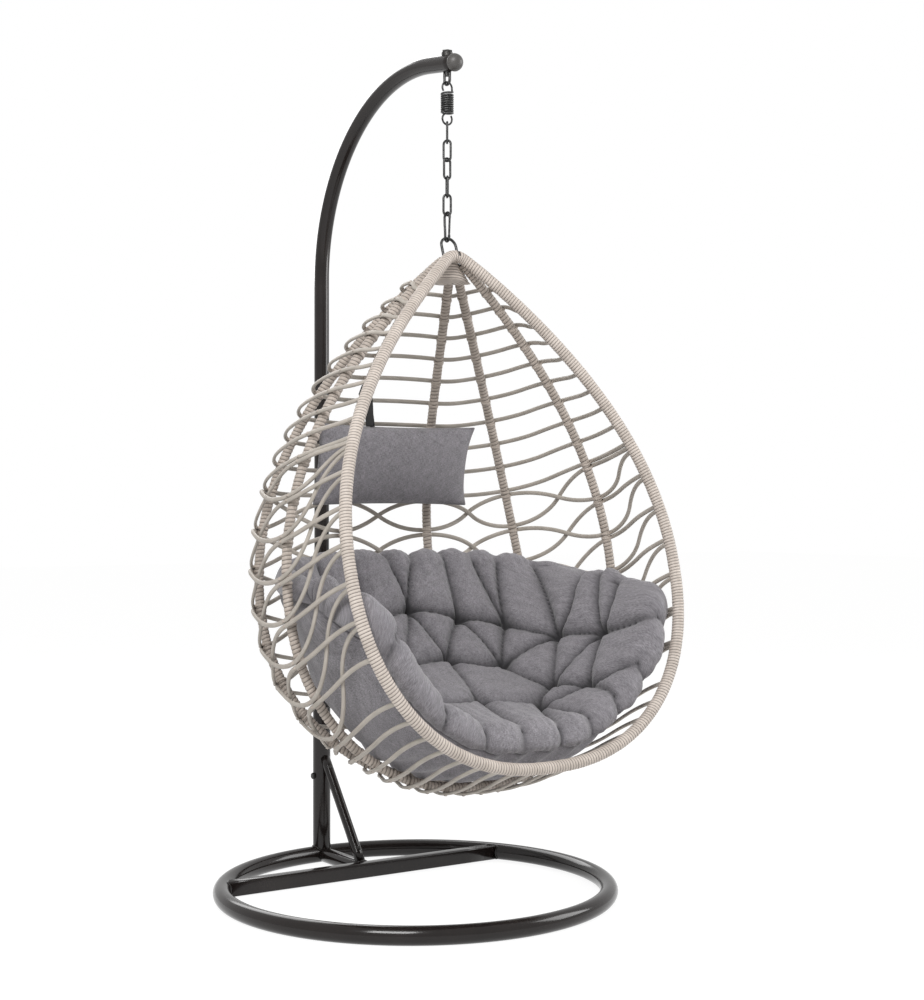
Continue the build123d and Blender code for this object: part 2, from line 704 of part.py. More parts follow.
def wall_places(lengths, rim_lengths):
    """The places of a strand from the left rim round the back to the right rim."""
    members = (side_hoop, rear_hoop, back_rib, back_rib, rear_hoop, side_hoop)
    sides = (-1, -1, -1, 1, 1, 1)
    stops = [Stop(m, s, side) for m, s, side in zip(members, lengths, sides)]
    left = End(rim, rim_lengths[0], -1, stops[0].point)
    right = End(rim, rim_lengths[1], 1, stops[-1].point)
    right.way = right.way * -1
    return [left] + stops + [right]


def straight_strands():
    """Each strand as one solid for each bay."""
    tables = [straight for straight, waves in member_levels()]
    lift = (STRAND_WIDE + STACK_GAP) / 2
    strands = []
    for on_rim, on_side, on_rear, on_back in zip(*tables):
        lengths = [on_side, on_rear, on_back, on_back, on_rear, on_side]
        places = wall_places([s - lift for s in lengths], [on_rim - lift] * 2)
        route(places)
        bays = zip(places, places[1:])
        strands.append([strand([a.point, b.point], [a.way, b.way], a.out) for a, b in bays])
    return strands


def crossing_pair(first, second, over):
    """Two strands over one bay that pass each other in the middle, the first on the outside if over is 1."""
    middles = []
    ways = []
    for start, end in (first, second):
        low, high = biarc_corners(start.point, start.way, end.point, end.way)
        middles.append((low + high) * 0.5)
        ways.append((high - low).normalized())
    out = ways[0].cross(ways[1]).normalized()
    if out.dot(first[0].out + second[1].out) < 0:
        out = out * -1
    apart = (middles[1] - middles[0]).dot(out) / 2 + over * (STRAND_THICK + CROSS_GAP) / 2
    pair = []
    for (start, end), middle, way, shift in zip((first, second), middles, ways, (apart, -apart)):
        points = [start.point, middle + out * shift, end.point]
        pair.append(strand(points, [start.way, way, end.way], start.out))
    return pair


def wave_strands():
    """Two strands for each wave, which swap levels at every member and cross once in every bay."""
    on_rim, on_side, on_rear, on_back = (waves for straight, waves in member_levels())
    tables = (on_side, on_rear, on_back, on_back, on_rear, on_side)
    lift = (STRAND_WIDE + STACK_GAP) / 2
    guides = [wall_places([t[j] for t in tables], [on_rim[j]] * 2) for j in range(WAVE_COUNT + 1)]
    for guide in guides:
        route(guide)
    strands = []
    for wave in range(WAVE_COUNT):
        pair = []
        for phase in (0, 1):
            lows = [(i + phase) % 2 for i in range(len(tables))]
            lengths = [t[wave + low] + (-lift if low else lift) for t, low in zip(tables, lows)]
            ends = []
            for reach, low in ((LEFT_REACH, phase), (RIGHT_REACH, 1 - phase)):
                level = max(wave + low * (1 - reach), 0)
                shift = lift if low else -lift
                if level == 0:
                    shift = lift * (1 + 2 * low * (wave + 1))
                ends.append(on_rim[level] + shift)
            places = wall_places(lengths, ends)
            for i, low in enumerate(lows):
                places[i + 1].head(guides[wave + low][i + 1].way)
            pair.append(list(zip(places, places[1:])))
        bays = [crossing_pair(a, b, (-1) ** i) for i, (a, b) in enumerate(zip(*pair))]
        strands += [[bay[0] for bay in bays], [bay[1] for bay in bays]]
    return strands


def floor_strands():
    """Strands under the seat, from the rim's foot to the side hoop and on to the rear hoop."""
    lift = (STRAND_WIDE + STACK_GAP) / 2
    spans = [(m, m.level(h[2]) + 3 * lift) for m, h in
             ((rim, RIM_LEVELS), (side_hoop, SIDE_LEVELS), (rear_hoop, REAR_LEVELS))]
    front = []
    rear = []
    for i in range(FLOOR_COUNT):
        across = 2 * i / (FLOOR_COUNT - 1) - 1
        side = 1 if across > 0 else -1
        on_rim, on_side, on_rear = ((m, m.length - abs(across) * (m.length - s), side) for m, s in spans)
        stops = [Stop(*on_side), Stop(*on_rear)]
        end = End(*on_rim, stops[0].point)
        route([end] + stops)
        stops[1].head(stops[1].point - stops[0].point)
        front.append(strand([end.point, stops[0].point], [end.way, stops[0].way], end.out))
        rear.append(strand([stop.point for stop in stops], [stop.way for stop in stops], stops[0].out))
    return front, rear


BAYS = ("front_weave_left", "side_weave_left", "rear_weave_left", "back_weave",
        "rear_weave_right", "side_weave_right", "front_weave_right")


def weave_nodes():
    bays = {name: [] for name in BAYS}
    for pieces in straight_strands() + wave_strands():
        for name, piece in zip(BAYS, pieces):
            bays[name].append(piece)
    bays["floor_weave_front"], bays["floor_weave_rear"] = floor_strands()
    return bays


# Cushions
def bulged_arc(start, end, bulge):
    """An arc whose height is a share of its chord, to the right of the way from start to end."""
    chord = end - start
    rise = Vector(0, chord.Z, -chord.Y) * bulge
    return ThreePointArc(start, (start + end) * 0.5 + rise, end)


def cushion_section(x, corners):
    points = [Vector(x, CHAIN_Y + CUSHION_BACK + y, z - CUSHION_DOWN) for y, z in corners]
    arcs = [bulged_arc(points[i], points[(i + 1) % 6], bulge) for i, bulge in enumerate(CUSHION_BULGES)]
    return Face(Wire(arcs))


def seat_cushion():
    """A bowl of padding with a round edge, pulled down by sewn tufts in staggered rows."""
    sections = [cushion_section(-x, corners) for x, *corners in reversed(CUSHION_SECTIONS[1:])]
    sections += [cushion_section(x, corners) for x, *corners in CUSHION_SECTIONS]
    cushion = loft(sections)
    focus = Vector(0, CHAIN_Y + TUFT_FOCUS[0], TUFT_FOCUS[1])
    balls = []
    for i, dip in enumerate(TUFT_DIPS):
        for turn in TUFT_TURNS[i % 2]:
            way = Vector(0, 0, -1).rotate(Axis.Y, turn).rotate(Axis.X, dip)
            point = cushion.find_intersection_points(Axis(focus, way))[0][0]
            balls.append(Pos(point - way * (TUFT_BALL - TUFT_DEPTH)) * Sphere(TUFT_BALL))
    return largest(cushion - balls)


def pillow_back_y():
    """Where the pillow's back touches the back ribs."""
    length = back_rib.level(PILLOW_Z)
    return back_rib.at(length, 1).Y - RIB_WRAP / 2 - PILLOW_SET


def pillow_section(x, high, thick):
    middle = Vector(PILLOW_X + x, pillow_back_y() - PILLOW_THICK / 2, PILLOW_Z)
    top = middle + Vector(0, 0, high / 2)
    foot = middle - Vector(0, 0, high / 2)
    front = middle - Vector(0, thick / 2, 0)
    rear = middle + Vector(0, thick / 2, 0)
    return Face(Wire([ThreePointArc(foot, front, top), ThreePointArc(top, rear, foot)]))


def head_pillow():
    """A plump pillow that thins to a seam all round."""
    ends = [(w * PILLOW_WIDE, h * PILLOW_HIGH, t * PILLOW_THICK) for w, h, t in PILLOW_SHAPE]
    sections = [pillow_section(-x, high, thick) for x, high, thick in ends]
    sections.append(pillow_section(0, PILLOW_WAIST * PILLOW_HIGH, PILLOW_THICK))
    sections += [pillow_section(x, high, thick) for x, high, thick in reversed(ends)]
    return loft(sections)


def pillow_strap():
    """A loop of webbing round the left back rib, with a tongue down to the pillow's top seam."""
    strands = wave_levels(back_rib, BACK_LEVELS)[0]
    length = (strands[STRAP_STRAND - 1] + strands[STRAP_STRAND]) / 2 - (STRAND_WIDE + STACK_GAP) / 2
    middle = back_rib.at(length, -1)
    way = back_rib.way(length, -1)
    inner = RIB_WRAP + 2 * SOFT_GAP
    half = way * STRAP_WIDE / 2
    loop = hollow_rod(middle - half, middle + half, inner + 2 * STRAP_THICK, STRAP_THICK)
    seam_y = pillow_back_y() - PILLOW_THICK / 2
    pillow_top = Vector(middle.X, seam_y, PILLOW_Z + STRAP_FOOT * PILLOW_HIGH + SOFT_GAP)
    start = middle - Vector(0, inner / 2 + STRAP_THICK / 2, 0)
    run = start - pillow_top
    tongue_plane = Plane(origin=pillow_top, x_dir=(1, 0, 0), z_dir=run)
    tongue = tongue_plane * Box(STRAP_WIDE, STRAP_THICK, run.length,
                                align=(Align.CENTER, Align.CENTER, Align.MIN))
    below = Plane(origin=pillow_top)
    tongue = split(tongue, bisect_by=below, keep=Keep.TOP)
    return largest(loop + tongue - rod(middle - half * 2, middle + half * 2, inner))


def build_nodes():
    nodes = {
        "base_ring": base_ring(),
        "cross_bar": cross_bar(),
        "foot_tube": foot_tube(),
        "post_sleeve": post_sleeve(),
        "brace_tube": brace_tube(),
        "brace_bolt_lower": brace_bolt(0),
        "brace_bolt_upper": brace_bolt(1),
        "arm_tube": arm_tube(),
        "arm_end_cap": arm_end_cap(),
        "lock_bolt": lock_bolt(),
        "lock_nut": lock_nut(),
        "eye_bolt": eye_bolt(),
        "eye_washer": eye_washer(),
        "eye_nut": eye_nut(),
        "suspension_spring": suspension_spring(),
        "snap_hook_body": snap_hook_body(),
        "snap_hook_pin": snap_hook_pin(),
        "snap_hook_gate": snap_hook_gate(),
        "basket_bail": bail(),
        "seat_cushion": seat_cushion(),
        "head_pillow": head_pillow(),
        "pillow_strap": pillow_strap(),
    }
    for i in range(len(LINK_TURNS)):
        nodes[f"chain_link_{i + 1}"] = chain_link(i)
    rim_solid = tube(rim_path(), RIM_WRAP + 2 * SEAT_GAP)
    knot = apex_knot(2 * SEAT_GAP)
    nodes["apex_knot"] = largest(apex_knot() - rim_solid)
    nodes["rim_tube"], nodes["rim_wrap"] = wrapped(rim_path(), RIM_WRAP, RIM_TUBE, [])
    side_path = smooth_path(*hoop_path(side_hoop, side_hoop.level(KNOT_HEAD_Z)))
    rear_path = smooth_path(*hoop_path(rear_hoop, rear_hoop.level(KNOT_HEAD_Z)))
    pair = wrapped(side_path, RIB_WRAP, RIB_TUBE, [knot, rim_solid])
    nodes["side_hoop_tube"], nodes["side_hoop_wrap"] = pair
    side_solid = tube(side_path, RIB_WRAP + 2 * SEAT_GAP)
    pair = wrapped(rear_path, RIB_WRAP, RIB_TUBE, [knot, side_solid])
    nodes["rear_hoop_tube"], nodes["rear_hoop_wrap"] = pair
    rear_solid = tube(rear_path, RIB_WRAP + 2 * SEAT_GAP)
    for side, name in ((-1, "left"), (1, "right")):
        pair = wrapped(rib_path(side), RIB_WRAP, RIB_TUBE, [knot, rear_solid])
        nodes[f"back_rib_{name}_tube"], nodes[f"back_rib_{name}_wrap"] = pair
    for name, pieces in weave_nodes().items():
        nodes[name] = Compound(children=[piece.solid() for piece in pieces])
    return nodes


def main():
    os.makedirs("parts", exist_ok=True)
    for name, shape in build_nodes().items():
        export_step(shape, f"parts/{name}.step")


if __name__ == "__main__":
    main()
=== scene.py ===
import json
import math

import bpy
import numpy as np
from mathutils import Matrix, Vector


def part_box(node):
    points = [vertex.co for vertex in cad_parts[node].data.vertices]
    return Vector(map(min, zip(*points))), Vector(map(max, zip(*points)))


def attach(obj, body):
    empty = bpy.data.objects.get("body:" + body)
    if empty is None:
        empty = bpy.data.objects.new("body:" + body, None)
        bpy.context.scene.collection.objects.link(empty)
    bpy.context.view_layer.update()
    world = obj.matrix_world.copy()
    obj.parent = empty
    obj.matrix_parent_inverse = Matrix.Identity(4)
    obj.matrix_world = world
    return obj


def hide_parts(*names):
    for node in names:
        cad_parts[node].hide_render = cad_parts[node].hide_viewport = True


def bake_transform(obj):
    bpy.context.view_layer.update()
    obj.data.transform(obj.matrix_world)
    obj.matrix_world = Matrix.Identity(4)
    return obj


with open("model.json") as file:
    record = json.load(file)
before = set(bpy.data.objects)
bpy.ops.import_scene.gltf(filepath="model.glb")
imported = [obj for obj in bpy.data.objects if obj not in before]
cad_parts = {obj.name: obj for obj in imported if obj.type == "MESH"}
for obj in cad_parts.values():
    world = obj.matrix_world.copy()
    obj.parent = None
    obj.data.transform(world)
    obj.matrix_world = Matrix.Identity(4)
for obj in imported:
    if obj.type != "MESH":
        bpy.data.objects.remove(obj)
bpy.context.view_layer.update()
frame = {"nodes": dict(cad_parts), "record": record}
rng = np.random.default_rng(7)

# Sizes in metres, as in the part's source
CHAIN_Y = -0.133
APEX_Z = 1.5
APEX_Y = -0.02
RIM_RADIUS = 0.01325
RIB_RADIUS = 0.01075
APEX_ROUND = 0.042
FULLNESS = 2.25
RIM = (0.428, 0.806, 0.366, -0.374, -0.054, 0.6, 2, False)
SIDE = (0.442, 0.745, 0.295, -0.134, 0.042, 1, 2, False)
REAR = (0.374, 0.660, 0.300, -0.020, 0.255, 1, 2, False)
BACK_HALF = 0.118
BACK_WAIST = 0.8
BACK_BOW = 0.285
STRAND_WIDE = 0.0104
STRAND_THICK = 0.0072
STRAND_GAP = 0.0005
STACK_GAP = 0.0006
CROSS_GAP = 0.0016
STRAIGHT_COUNT = 10
WAVE_COUNT = 7
FLOOR_COUNT = 17
RIM_LEVELS = (1.400, 1.062, 0.540)
SIDE_LEVELS = (1.408, 1.015, 0.434)
REAR_LEVELS = (1.404, 0.948, 0.390)
BACK_LEVELS = (1.398, 0.936, 0.412)
LEFT_REACH = 2
RIGHT_REACH = 1
BASKET_MIDDLE = np.array([0.0, CHAIN_Y - 0.06, 0.7])
KNOT_HEAD_Z = 1.478
KNOT_FOOT_Z = 1.430
UP = np.array([0.0, 0.0, 1.0])


# Vectors and curves
def unit(v):
    v = np.asarray(v, float)
    return v / np.maximum(np.linalg.norm(v, axis=-1, keepdims=True), 1e-12)


def square_to(v, way):
    """v with its share along way taken out, as a unit vector."""
    return unit(v - way * np.sum(v * way, axis=-1, keepdims=True))


def lengths_of(points):
    return np.r_[0, np.cumsum(np.linalg.norm(np.diff(points, axis=0), axis=1))]


def resample(points, step):
    s = lengths_of(points)
    t = np.linspace(0, s[-1], max(int(round(s[-1] / step)), 2) + 1)
    return np.stack([np.interp(t, s, points[:, k]) for k in range(3)], -1)


def arc_points(start, corner, end, count):
    """Points on the circular arc from start to end whose tangents meet at the corner."""
    weight = float(np.dot(unit(corner - start), unit(end - start)))
    t = np.linspace(0, 1, count + 1)[:, None]
    blend = (1 - t) ** 2, 2 * weight * t * (1 - t), t**2
    return (blend[0] * start + blend[1] * corner + blend[2] * end) / sum(blend)


def biarc_corners(start, start_way, end, end_way):
    chord = end - start
    spread = 2 * (1 - start_way @ end_way)
    along = chord @ (start_way + end_way)
    if spread > 1e-6:
        reach = (math.sqrt(along**2 + spread * (chord @ chord)) - along) / spread
    else:
        reach = (chord @ chord) / (4 * (chord @ end_way))
    return start + start_way * reach, end - end_way * reach


def smooth_points(points, ways, count):
    """Points along two tangent arcs between each two places."""
    rows = []
    for a, wa, b, wb in zip(points, ways, points[1:], ways[1:]):
        low, high = biarc_corners(a, wa, b, wb)
        middle = (low + high) / 2
        rows += list(arc_points(a, low, middle, count)[:-1])
        rows += list(arc_points(middle, high, b, count)[:-1])
    return np.array(rows + [points[-1]])


def carried_normals(points, first):
    """Normals that turn no more than the curve does, from a first one."""
    ways = unit(np.gradient(points, axis=0))
    normals = [square_to(np.asarray(first, float), ways[0])]
    for way in ways[1:]:
        normals.append(square_to(normals[-1], way))
    return ways, np.array(normals)


class Member:
    """One bent tube of the basket's frame, known by its length from the apex."""

    def __init__(self, radius, half, waist, foot, foot_y, bow, power, crown, straight):
        self.radius = radius
        t = np.linspace(0, 2, 1601)
        upper = np.clip(1 - t, 0, 1)
        x = half * (1 - upper**crown)
        z = waist + upper * (APEX_Z - waist)
        low = t > 1
        if straight:
            z[low] = waist - (t[low] - 1) * (waist - foot)
        else:
            angle = (t[low] - 1) * math.pi / 2
            x[low] = half * np.clip(np.cos(angle), 0, 1) ** (2 / FULLNESS)
            z[low] = waist - (waist - foot) * np.sin(angle) ** (2 / FULLNESS)
        fall = np.clip((APEX_Z - z) / (APEX_Z - foot), 0, 1)
        y = APEX_Y + (foot_y - APEX_Y) * fall + bow * (4 * fall * (1 - fall)) ** power
        self.points = np.stack([x, CHAIN_Y + y, z], -1)
        self.lengths = lengths_of(self.points)
        self.length = self.lengths[-1]

    def at(self, length, side):
        p = np.stack([np.interp(length, self.lengths, self.points[:, k]) for k in range(3)], -1)
        return p * np.array([side, 1, 1])

    def way(self, length, side):
        low = np.maximum(np.asarray(length, float) - 0.002, 0)
        high = np.minimum(np.asarray(length, float) + 0.002, self.length)
        return unit(self.at(high, side) - self.at(low, side))

    def out(self, length, side):
        return square_to(self.at(length, side) - BASKET_MIDDLE, self.way(length, side))

    def level(self, z):
        return self.lengths[np.argmax(self.points[:, 2] <= z)]

    def loop(self, start):
        """Both branches from a length on the right round the foot to the same on the left."""
        right = self.at(np.linspace(start, self.length, 900), 1)
        return np.concatenate([right, right[-2::-1] * np.array([-1, 1, 1])])


rim = Member(RIM_RADIUS, *RIM)
side_hoop = Member(RIB_RADIUS, *SIDE)
rear_hoop = Member(RIB_RADIUS, *REAR)
rear_seat = rear_hoop.points[len(rear_hoop.points) - 1 - np.argmax(rear_hoop.points[::-1, 0] >= BACK_HALF)]
back_rib = Member(RIB_RADIUS, BACK_HALF, BACK_WAIST, rear_seat[2], rear_seat[1] - CHAIN_Y,
                  BACK_BOW, 1, 3, True)


# Meshes
class Shape:
    """Vertices and faces that are gathered before one mesh is made of them."""

    def __init__(self):
        self.vertices = []
        self.faces = []
        self.values = {}
        self.count = 0

    def add(self, vertices, faces, **values):
        self.vertices.append(np.asarray(vertices, float))
        self.faces += [tuple(int(i) + self.count for i in f) for f in faces]
        for name in values:
            self.values.setdefault(name, []).append(np.asarray(values[name], float))
        self.count += len(vertices)

    def piece(self, name, finish, body, slot, replaced=()):
        mesh = bpy.data.meshes.new(name)
        mesh.from_pydata(np.concatenate(self.vertices).tolist(), [], self.faces)
        for key, parts in self.values.items():
            data = np.concatenate(parts)
            kind = "FLOAT" if data.ndim == 1 else "FLOAT_VECTOR"
            layer = mesh.attributes.new(key, kind, "POINT")
            layer.data.foreach_set("value" if data.ndim == 1 else "vector", data.astype(np.float32).ravel())
        mesh.polygons.foreach_set("use_smooth", [True] * len(mesh.polygons))
        mesh.materials.append(finish.material)
        mesh.update()
        made = bpy.data.objects.new(name, mesh)
        bpy.context.scene.collection.objects.link(made)
        if isinstance(body, str):
            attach(made, body)
        else:
            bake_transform(made)
        if replaced:
            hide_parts(*replaced)
        return made


def tube_faces(rows, around, closed):
    faces = []
    for i in range(rows if closed else rows - 1):
        after = (i + 1) % rows
        for j in range(around):
            k = (j + 1) % around
            faces.append((i * around + j, i * around + k, after * around + k, after * around + j))
    return faces


def end_faces(rows, around):
    return [tuple(range(around))[::-1], tuple((rows - 1) * around + j for j in range(around))]


def alike(v, count):
    """The same vector in count rows."""
    return np.repeat(np.array([v], float), count, 0)


def swept(shape, points, section, normals, ways=None, closed=False, **values):
    """Sweeps a section along points. Its first axis lies across the normal and its second along it."""
    if ways is None:
        ways = unit(np.gradient(points, axis=0))
        if closed:
            ways = unit(np.roll(points, -1, 0) - np.roll(points, 1, 0))
    normals = square_to(normals, ways)
    across = np.cross(ways, normals)
    section = np.asarray(section, float)
    if section.ndim == 2:
        section = np.repeat(section[None], len(points), 0)
    rings = points[:, None] + section[..., :1] * across[:, None] + section[..., 1:] * normals[:, None]
    around = section.shape[1]
    faces = tube_faces(len(points), around, closed)
    if not closed:
        faces += end_faces(len(points), around)
    shape.add(rings.reshape(-1, 3), faces, **values)


def oval(wide, thick, count, power=2.0):
    a = np.linspace(0, 2 * math.pi, count, endpoint=False)
    c, s = np.cos(a), np.sin(a)
    return np.stack([np.sign(c) * np.abs(c) ** (2 / power) * wide / 2,
                     np.sign(s) * np.abs(s) ** (2 / power) * thick / 2], -1)


def rounded_box(wide, high, radius, steps=4):
    """The outline of a box section with round corners."""
    points = []
    for quarter in range(4):
        cx = (wide / 2 - radius) * (1 if quarter in (0, 3) else -1)
        cy = (high / 2 - radius) * (1 if quarter in (0, 1) else -1)
        for k in range(steps + 1):
            a = (quarter + k / steps) * math.pi / 2
            points.append((cx + radius * math.cos(a), cy + radius * math.sin(a)))
    return np.array(points)


# Finishes
class Value:
    """A socket in a finish. Operators on it add Math nodes."""

    def __init__(self, finish, socket):
        self.finish = finish
        self.socket = socket

    def maths(self, operation, first, second):
        return self.finish.node("ShaderNodeMath", {"operation": operation}, {0: first, 1: second})

    def __add__(self, other):
        return self.maths("ADD", self, other)

    def __mul__(self, other):
        return self.maths("MULTIPLY", self, other)

    __radd__ = __add__
    __rmul__ = __mul__


class Finish:
    """A material whose nodes all come from node()."""

    def __init__(self, name, tree=None):
        if tree is None:
            self.material = bpy.data.materials.new(name)
            self.material.use_nodes = True
            tree = self.material.node_tree
        self.tree = tree
        self.tree.nodes.clear()

    def node(self, kind, settings=None, inputs=None, out=0):
        made = self.tree.nodes.new(kind)
        for key, value in (settings or {}).items():
            setattr(made, key, value)
        for key, value in (inputs or {}).items():
            if isinstance(value, Value):
                self.tree.links.new(value.socket, made.inputs[key])
            else:
                made.inputs[key].default_value = value
        return Value(self, made.outputs[out])

    def place(self):
        return self.node("ShaderNodeTexCoord", out="Object")

    def stretched(self, vector, scale):
        return self.node("ShaderNodeMapping", {}, {"Vector": vector, "Scale": scale})

    def noise(self, vector, scale, detail=2.0, rough=0.5):
        inputs = {"Vector": vector, "Scale": scale, "Detail": detail, "Roughness": rough}
        return self.node("ShaderNodeTexNoise", {}, inputs)

    def bands(self, vector, direction, scale, distortion, detail=2.0):
        inputs = {"Vector": vector, "Scale": scale, "Distortion": distortion, "Detail": detail}
        return self.node("ShaderNodeTexWave", {"bands_direction": direction}, inputs)

    def ramp(self, value, low, high):
        return self.node("ShaderNodeMapRange", {}, {"Value": value, "From Min": low, "From Max": high})

    def mix(self, share, first, second):
        return self.node("ShaderNodeMix", {"data_type": "RGBA"}, {0: share, 6: first, 7: second}, 2)

    def layer(self, name, out="Fac"):
        return self.node("ShaderNodeAttribute", {"attribute_name": name}, out=out)

    def bump(self, height, strength, distance):
        return self.node("ShaderNodeBump", {}, {"Height": height, "Strength": strength, "Distance": distance})

    def surface(self, **inputs):
        named = {key.replace("_", " ").title().replace("Ior", "IOR"): value for key, value in inputs.items()}
        shader = self.node("ShaderNodeBsdfPrincipled", {}, named)
        self.node_out(shader)
        return self

    def node_out(self, shader, kind="ShaderNodeOutputMaterial"):
        end = self.tree.nodes.new(kind)
        self.tree.links.new(shader.socket, end.inputs["Surface"])


def rgb(r, g, b):
    return (r, g, b, 1.0)


def rattan_finish(name, pale, deep):
    """Extruded plastic strip: fine lengthwise lines, clouded colour, and painted shade in the grooves between
    wraps and under the bindings.
    """
    f = Finish(name)
    p = f.place()
    cloud = f.ramp(f.noise(p, 26, 3), 0.35, 0.65)
    grain = f.noise(f.stretched(p, (900, 900, 160)), 1.0, 2)
    lie = f.layer("lie")
    tone = f.mix(cloud * 0.55 + grain * 0.45, deep, pale)
    # painted shade: where the lie attribute is low, in the grooves between turns, the tone is darkened
    # towards near black
    groove_painted_shade = f.mix(f.ramp(lie, 0.0, 0.85), rgb(0.060, 0.049, 0.041), tone)
    return f.surface(base_color=groove_painted_shade, roughness=0.42 + grain * 0.22, normal=f.bump(grain, 0.25, 0.0006))


def paint_finish():
    """Gloss powder coat: near black, warm, lightly clouded, with a slight orange peel."""
    f = Finish("stand_gloss_paint")
    p = f.place()
    peel = f.noise(p, 420, 2)
    cloud = f.ramp(f.noise(p, 9, 3), 0.3, 0.7)
    colour = f.mix(cloud, rgb(0.008, 0.0055, 0.0050), rgb(0.014, 0.0105, 0.0095))
    return f.surface(base_color=colour, roughness=0.12 + cloud * 0.07, specular_ior_level=0.36,
                     coat_weight=0.06, coat_roughness=0.05, normal=f.bump(peel, 0.06, 0.0006))


def steel_finish(name, dark, light, rough):
    f = Finish(name)
    p = f.place()
    spots = f.ramp(f.noise(p, 260, 4), 0.35, 0.7)
    fine = f.noise(p, 1600, 2)
    return f.surface(base_color=f.mix(spots, dark, light), metallic=0.85, roughness=rough + spots * 0.15,
                     normal=f.bump(fine, 0.15, 0.0004))


def plastic_finish():
    f = Finish("cap_satin_plastic")
    p = f.place()
    grain = f.noise(p, 900, 2)
    cloud = f.noise(p, 60, 2)
    return f.surface(base_color=f.mix(cloud, rgb(0.045, 0.042, 0.040), rgb(0.085, 0.080, 0.076)),
                     roughness=0.38 + cloud * 0.1, normal=f.bump(grain, 0.1, 0.0004))


def melange_finish(name, dark, pale):
    """Two-tone cloth: slubby warp and weft threads of different greys, with painted shade down in the pleats.
    """
    f = Finish(name)
    cloth = f.layer("cloth", "Vector")
    warp = f.noise(f.stretched(cloth, (1100, 130, 1)), 1.0, 2, 0.6)
    weft = f.noise(f.stretched(cloth, (130, 1100, 1)), 1.0, 2, 0.6)
    fleck = f.ramp(warp * 0.5 + weft * 0.5, 0.36, 0.64)
    wide = f.ramp(f.noise(cloth, 45, 3), 0.3, 0.7)
    tone = f.mix(fleck * 0.8 + wide * 0.2, dark, pale)
    # painted shade: where lie is low, in pleats, round tufts and at the seam, the cloth is darkened towards
    # near black
    painted_shade = f.mix(f.ramp(f.layer("lie"), 0.0, 1.0), rgb(0.020, 0.019, 0.021), tone)
    threads = f.bands(cloth, "X", 190, 1.5, 1)
    cross = f.bands(cloth, "Y", 190, 1.5, 1)
    weave = threads * 0.3 + cross * 0.3 + fleck * 0.6
    return f.surface(base_color=painted_shade, roughness=0.86 + fleck * 0.1, sheen_weight=0.25, sheen_roughness=0.5,
                     normal=f.bump(weave, 0.35, 0.0009))


def webbing_finish():
    f = Finish("strap_black_webbing")
    cloth = f.layer("cloth", "Vector")
    rib = f.bands(cloth, "X", 150, 0.6)
    cross = f.noise(f.stretched(cloth, (300, 1200, 1)), 1.0, 2)
    tone = f.mix(rib * 0.5 + cross * 0.5, rgb(0.010, 0.010, 0.011), rgb(0.038, 0.037, 0.038))
    return f.surface(base_color=tone, roughness=0.7 + cross * 0.2, normal=f.bump(rib + cross, 0.5, 0.0008))


RIM_FINISH = rattan_finish("rim_wrap_strip", rgb(0.63, 0.560, 0.505), rgb(0.46, 0.402, 0.355))
RIB_FINISH = rattan_finish("rib_wrap_strip", rgb(0.50, 0.435, 0.385), rgb(0.33, 0.285, 0.245))
STRAND_FINISH = rattan_finish("weave_strand", rgb(0.44, 0.400, 0.355), rgb(0.33, 0.300, 0.262))
PAINT = paint_finish()
STEEL = steel_finish("hanger_dark_steel", rgb(0.030, 0.030, 0.030), rgb(0.095, 0.095, 0.094), 0.32)
BOLT_STEEL = steel_finish("bolt_dark_steel", rgb(0.026, 0.025, 0.024), rgb(0.075, 0.073, 0.070), 0.36)
CORE_STEEL = steel_finish("frame_core_steel", rgb(0.20, 0.19, 0.18), rgb(0.30, 0.29, 0.28), 0.45)
CAP = plastic_finish()
CLOTH = melange_finish("cushion_melange_cloth", rgb(0.070, 0.066, 0.074), rgb(0.345, 0.328, 0.352))
WEBBING = webbing_finish()


# Wrapped frame members
# Rows of one turn: place in the turn, height over the tube, and lie, which paints shade into the grooves (0
# darkest, 1 none on the crown)
WRAP_ROWS = ((0.0, -0.0011, 0.0), (0.14, -0.0002, 0.7), (0.5, 0.0003, 1.0), (0.86, -0.0002, 0.7))
RIM_WRAP = (RIM_RADIUS, 0.0068, 26)   # radius, pitch and points round one turn
RIB_WRAP = (RIB_RADIUS, 0.0090, 22)


def wrapped_tube(shape, points, radius, pitch, around, seed):
    """A strip wound round a curve in close turns, as one long helix of raised bands."""
    dense = resample(points, 0.001)
    ways, normals = carried_normals(dense, (0, -1, 0))
    length = lengths_of(dense)[-1]
    turns = int(round(length / pitch))
    pitch = length / turns
    rows = len(WRAP_ROWS)
    draw = np.random.default_rng(seed)
    wobble = np.interp(np.arange(turns * rows) / rows, np.arange(turns + 1), draw.normal(0, 0.035, turns + 1))
    lift = np.repeat(draw.normal(0, 0.00012, turns), rows)
    place = np.array([(t + r[0]) for t in range(turns) for r in WRAP_ROWS]) + wobble * 0.5
    height = np.array([r[1] for _ in range(turns) for r in WRAP_ROWS]) + lift
    # lie carries the painted shade of the grooves between turns
    lie = np.array([r[2] for _ in range(turns) for r in WRAP_ROWS])
    turn = np.arange(around) / around
    s = np.clip((place[:, None] + turn[None]) * pitch, 0, length)
    index = s / length * (len(dense) - 1)
    grid = np.arange(len(dense))

    def look(table):
        return np.stack([np.interp(index, grid, table[:, k]) for k in range(3)], -1)

    centre, way, normal = look(dense), unit(look(ways)), unit(look(normals))
    across = np.cross(way, normal)
    angle = (turn * 2 * math.pi)[None, :, None]
    reach = (radius + height)[:, None, None]
    rings = centre + reach * (np.cos(angle) * normal + np.sin(angle) * across)
    count = turns * rows
    faces = []
    for i in range(count - 1):
        for j in range(around):
            k = j + 1
            up = i
            if k == around:
                k, up = 0, i + rows
            if up + 1 < count:
                faces.append((i * around + j, up * around + k, (up + 1) * around + k, (i + 1) * around + j))
    shape.add(rings.reshape(-1, 3), faces, lie=np.repeat(lie, around))


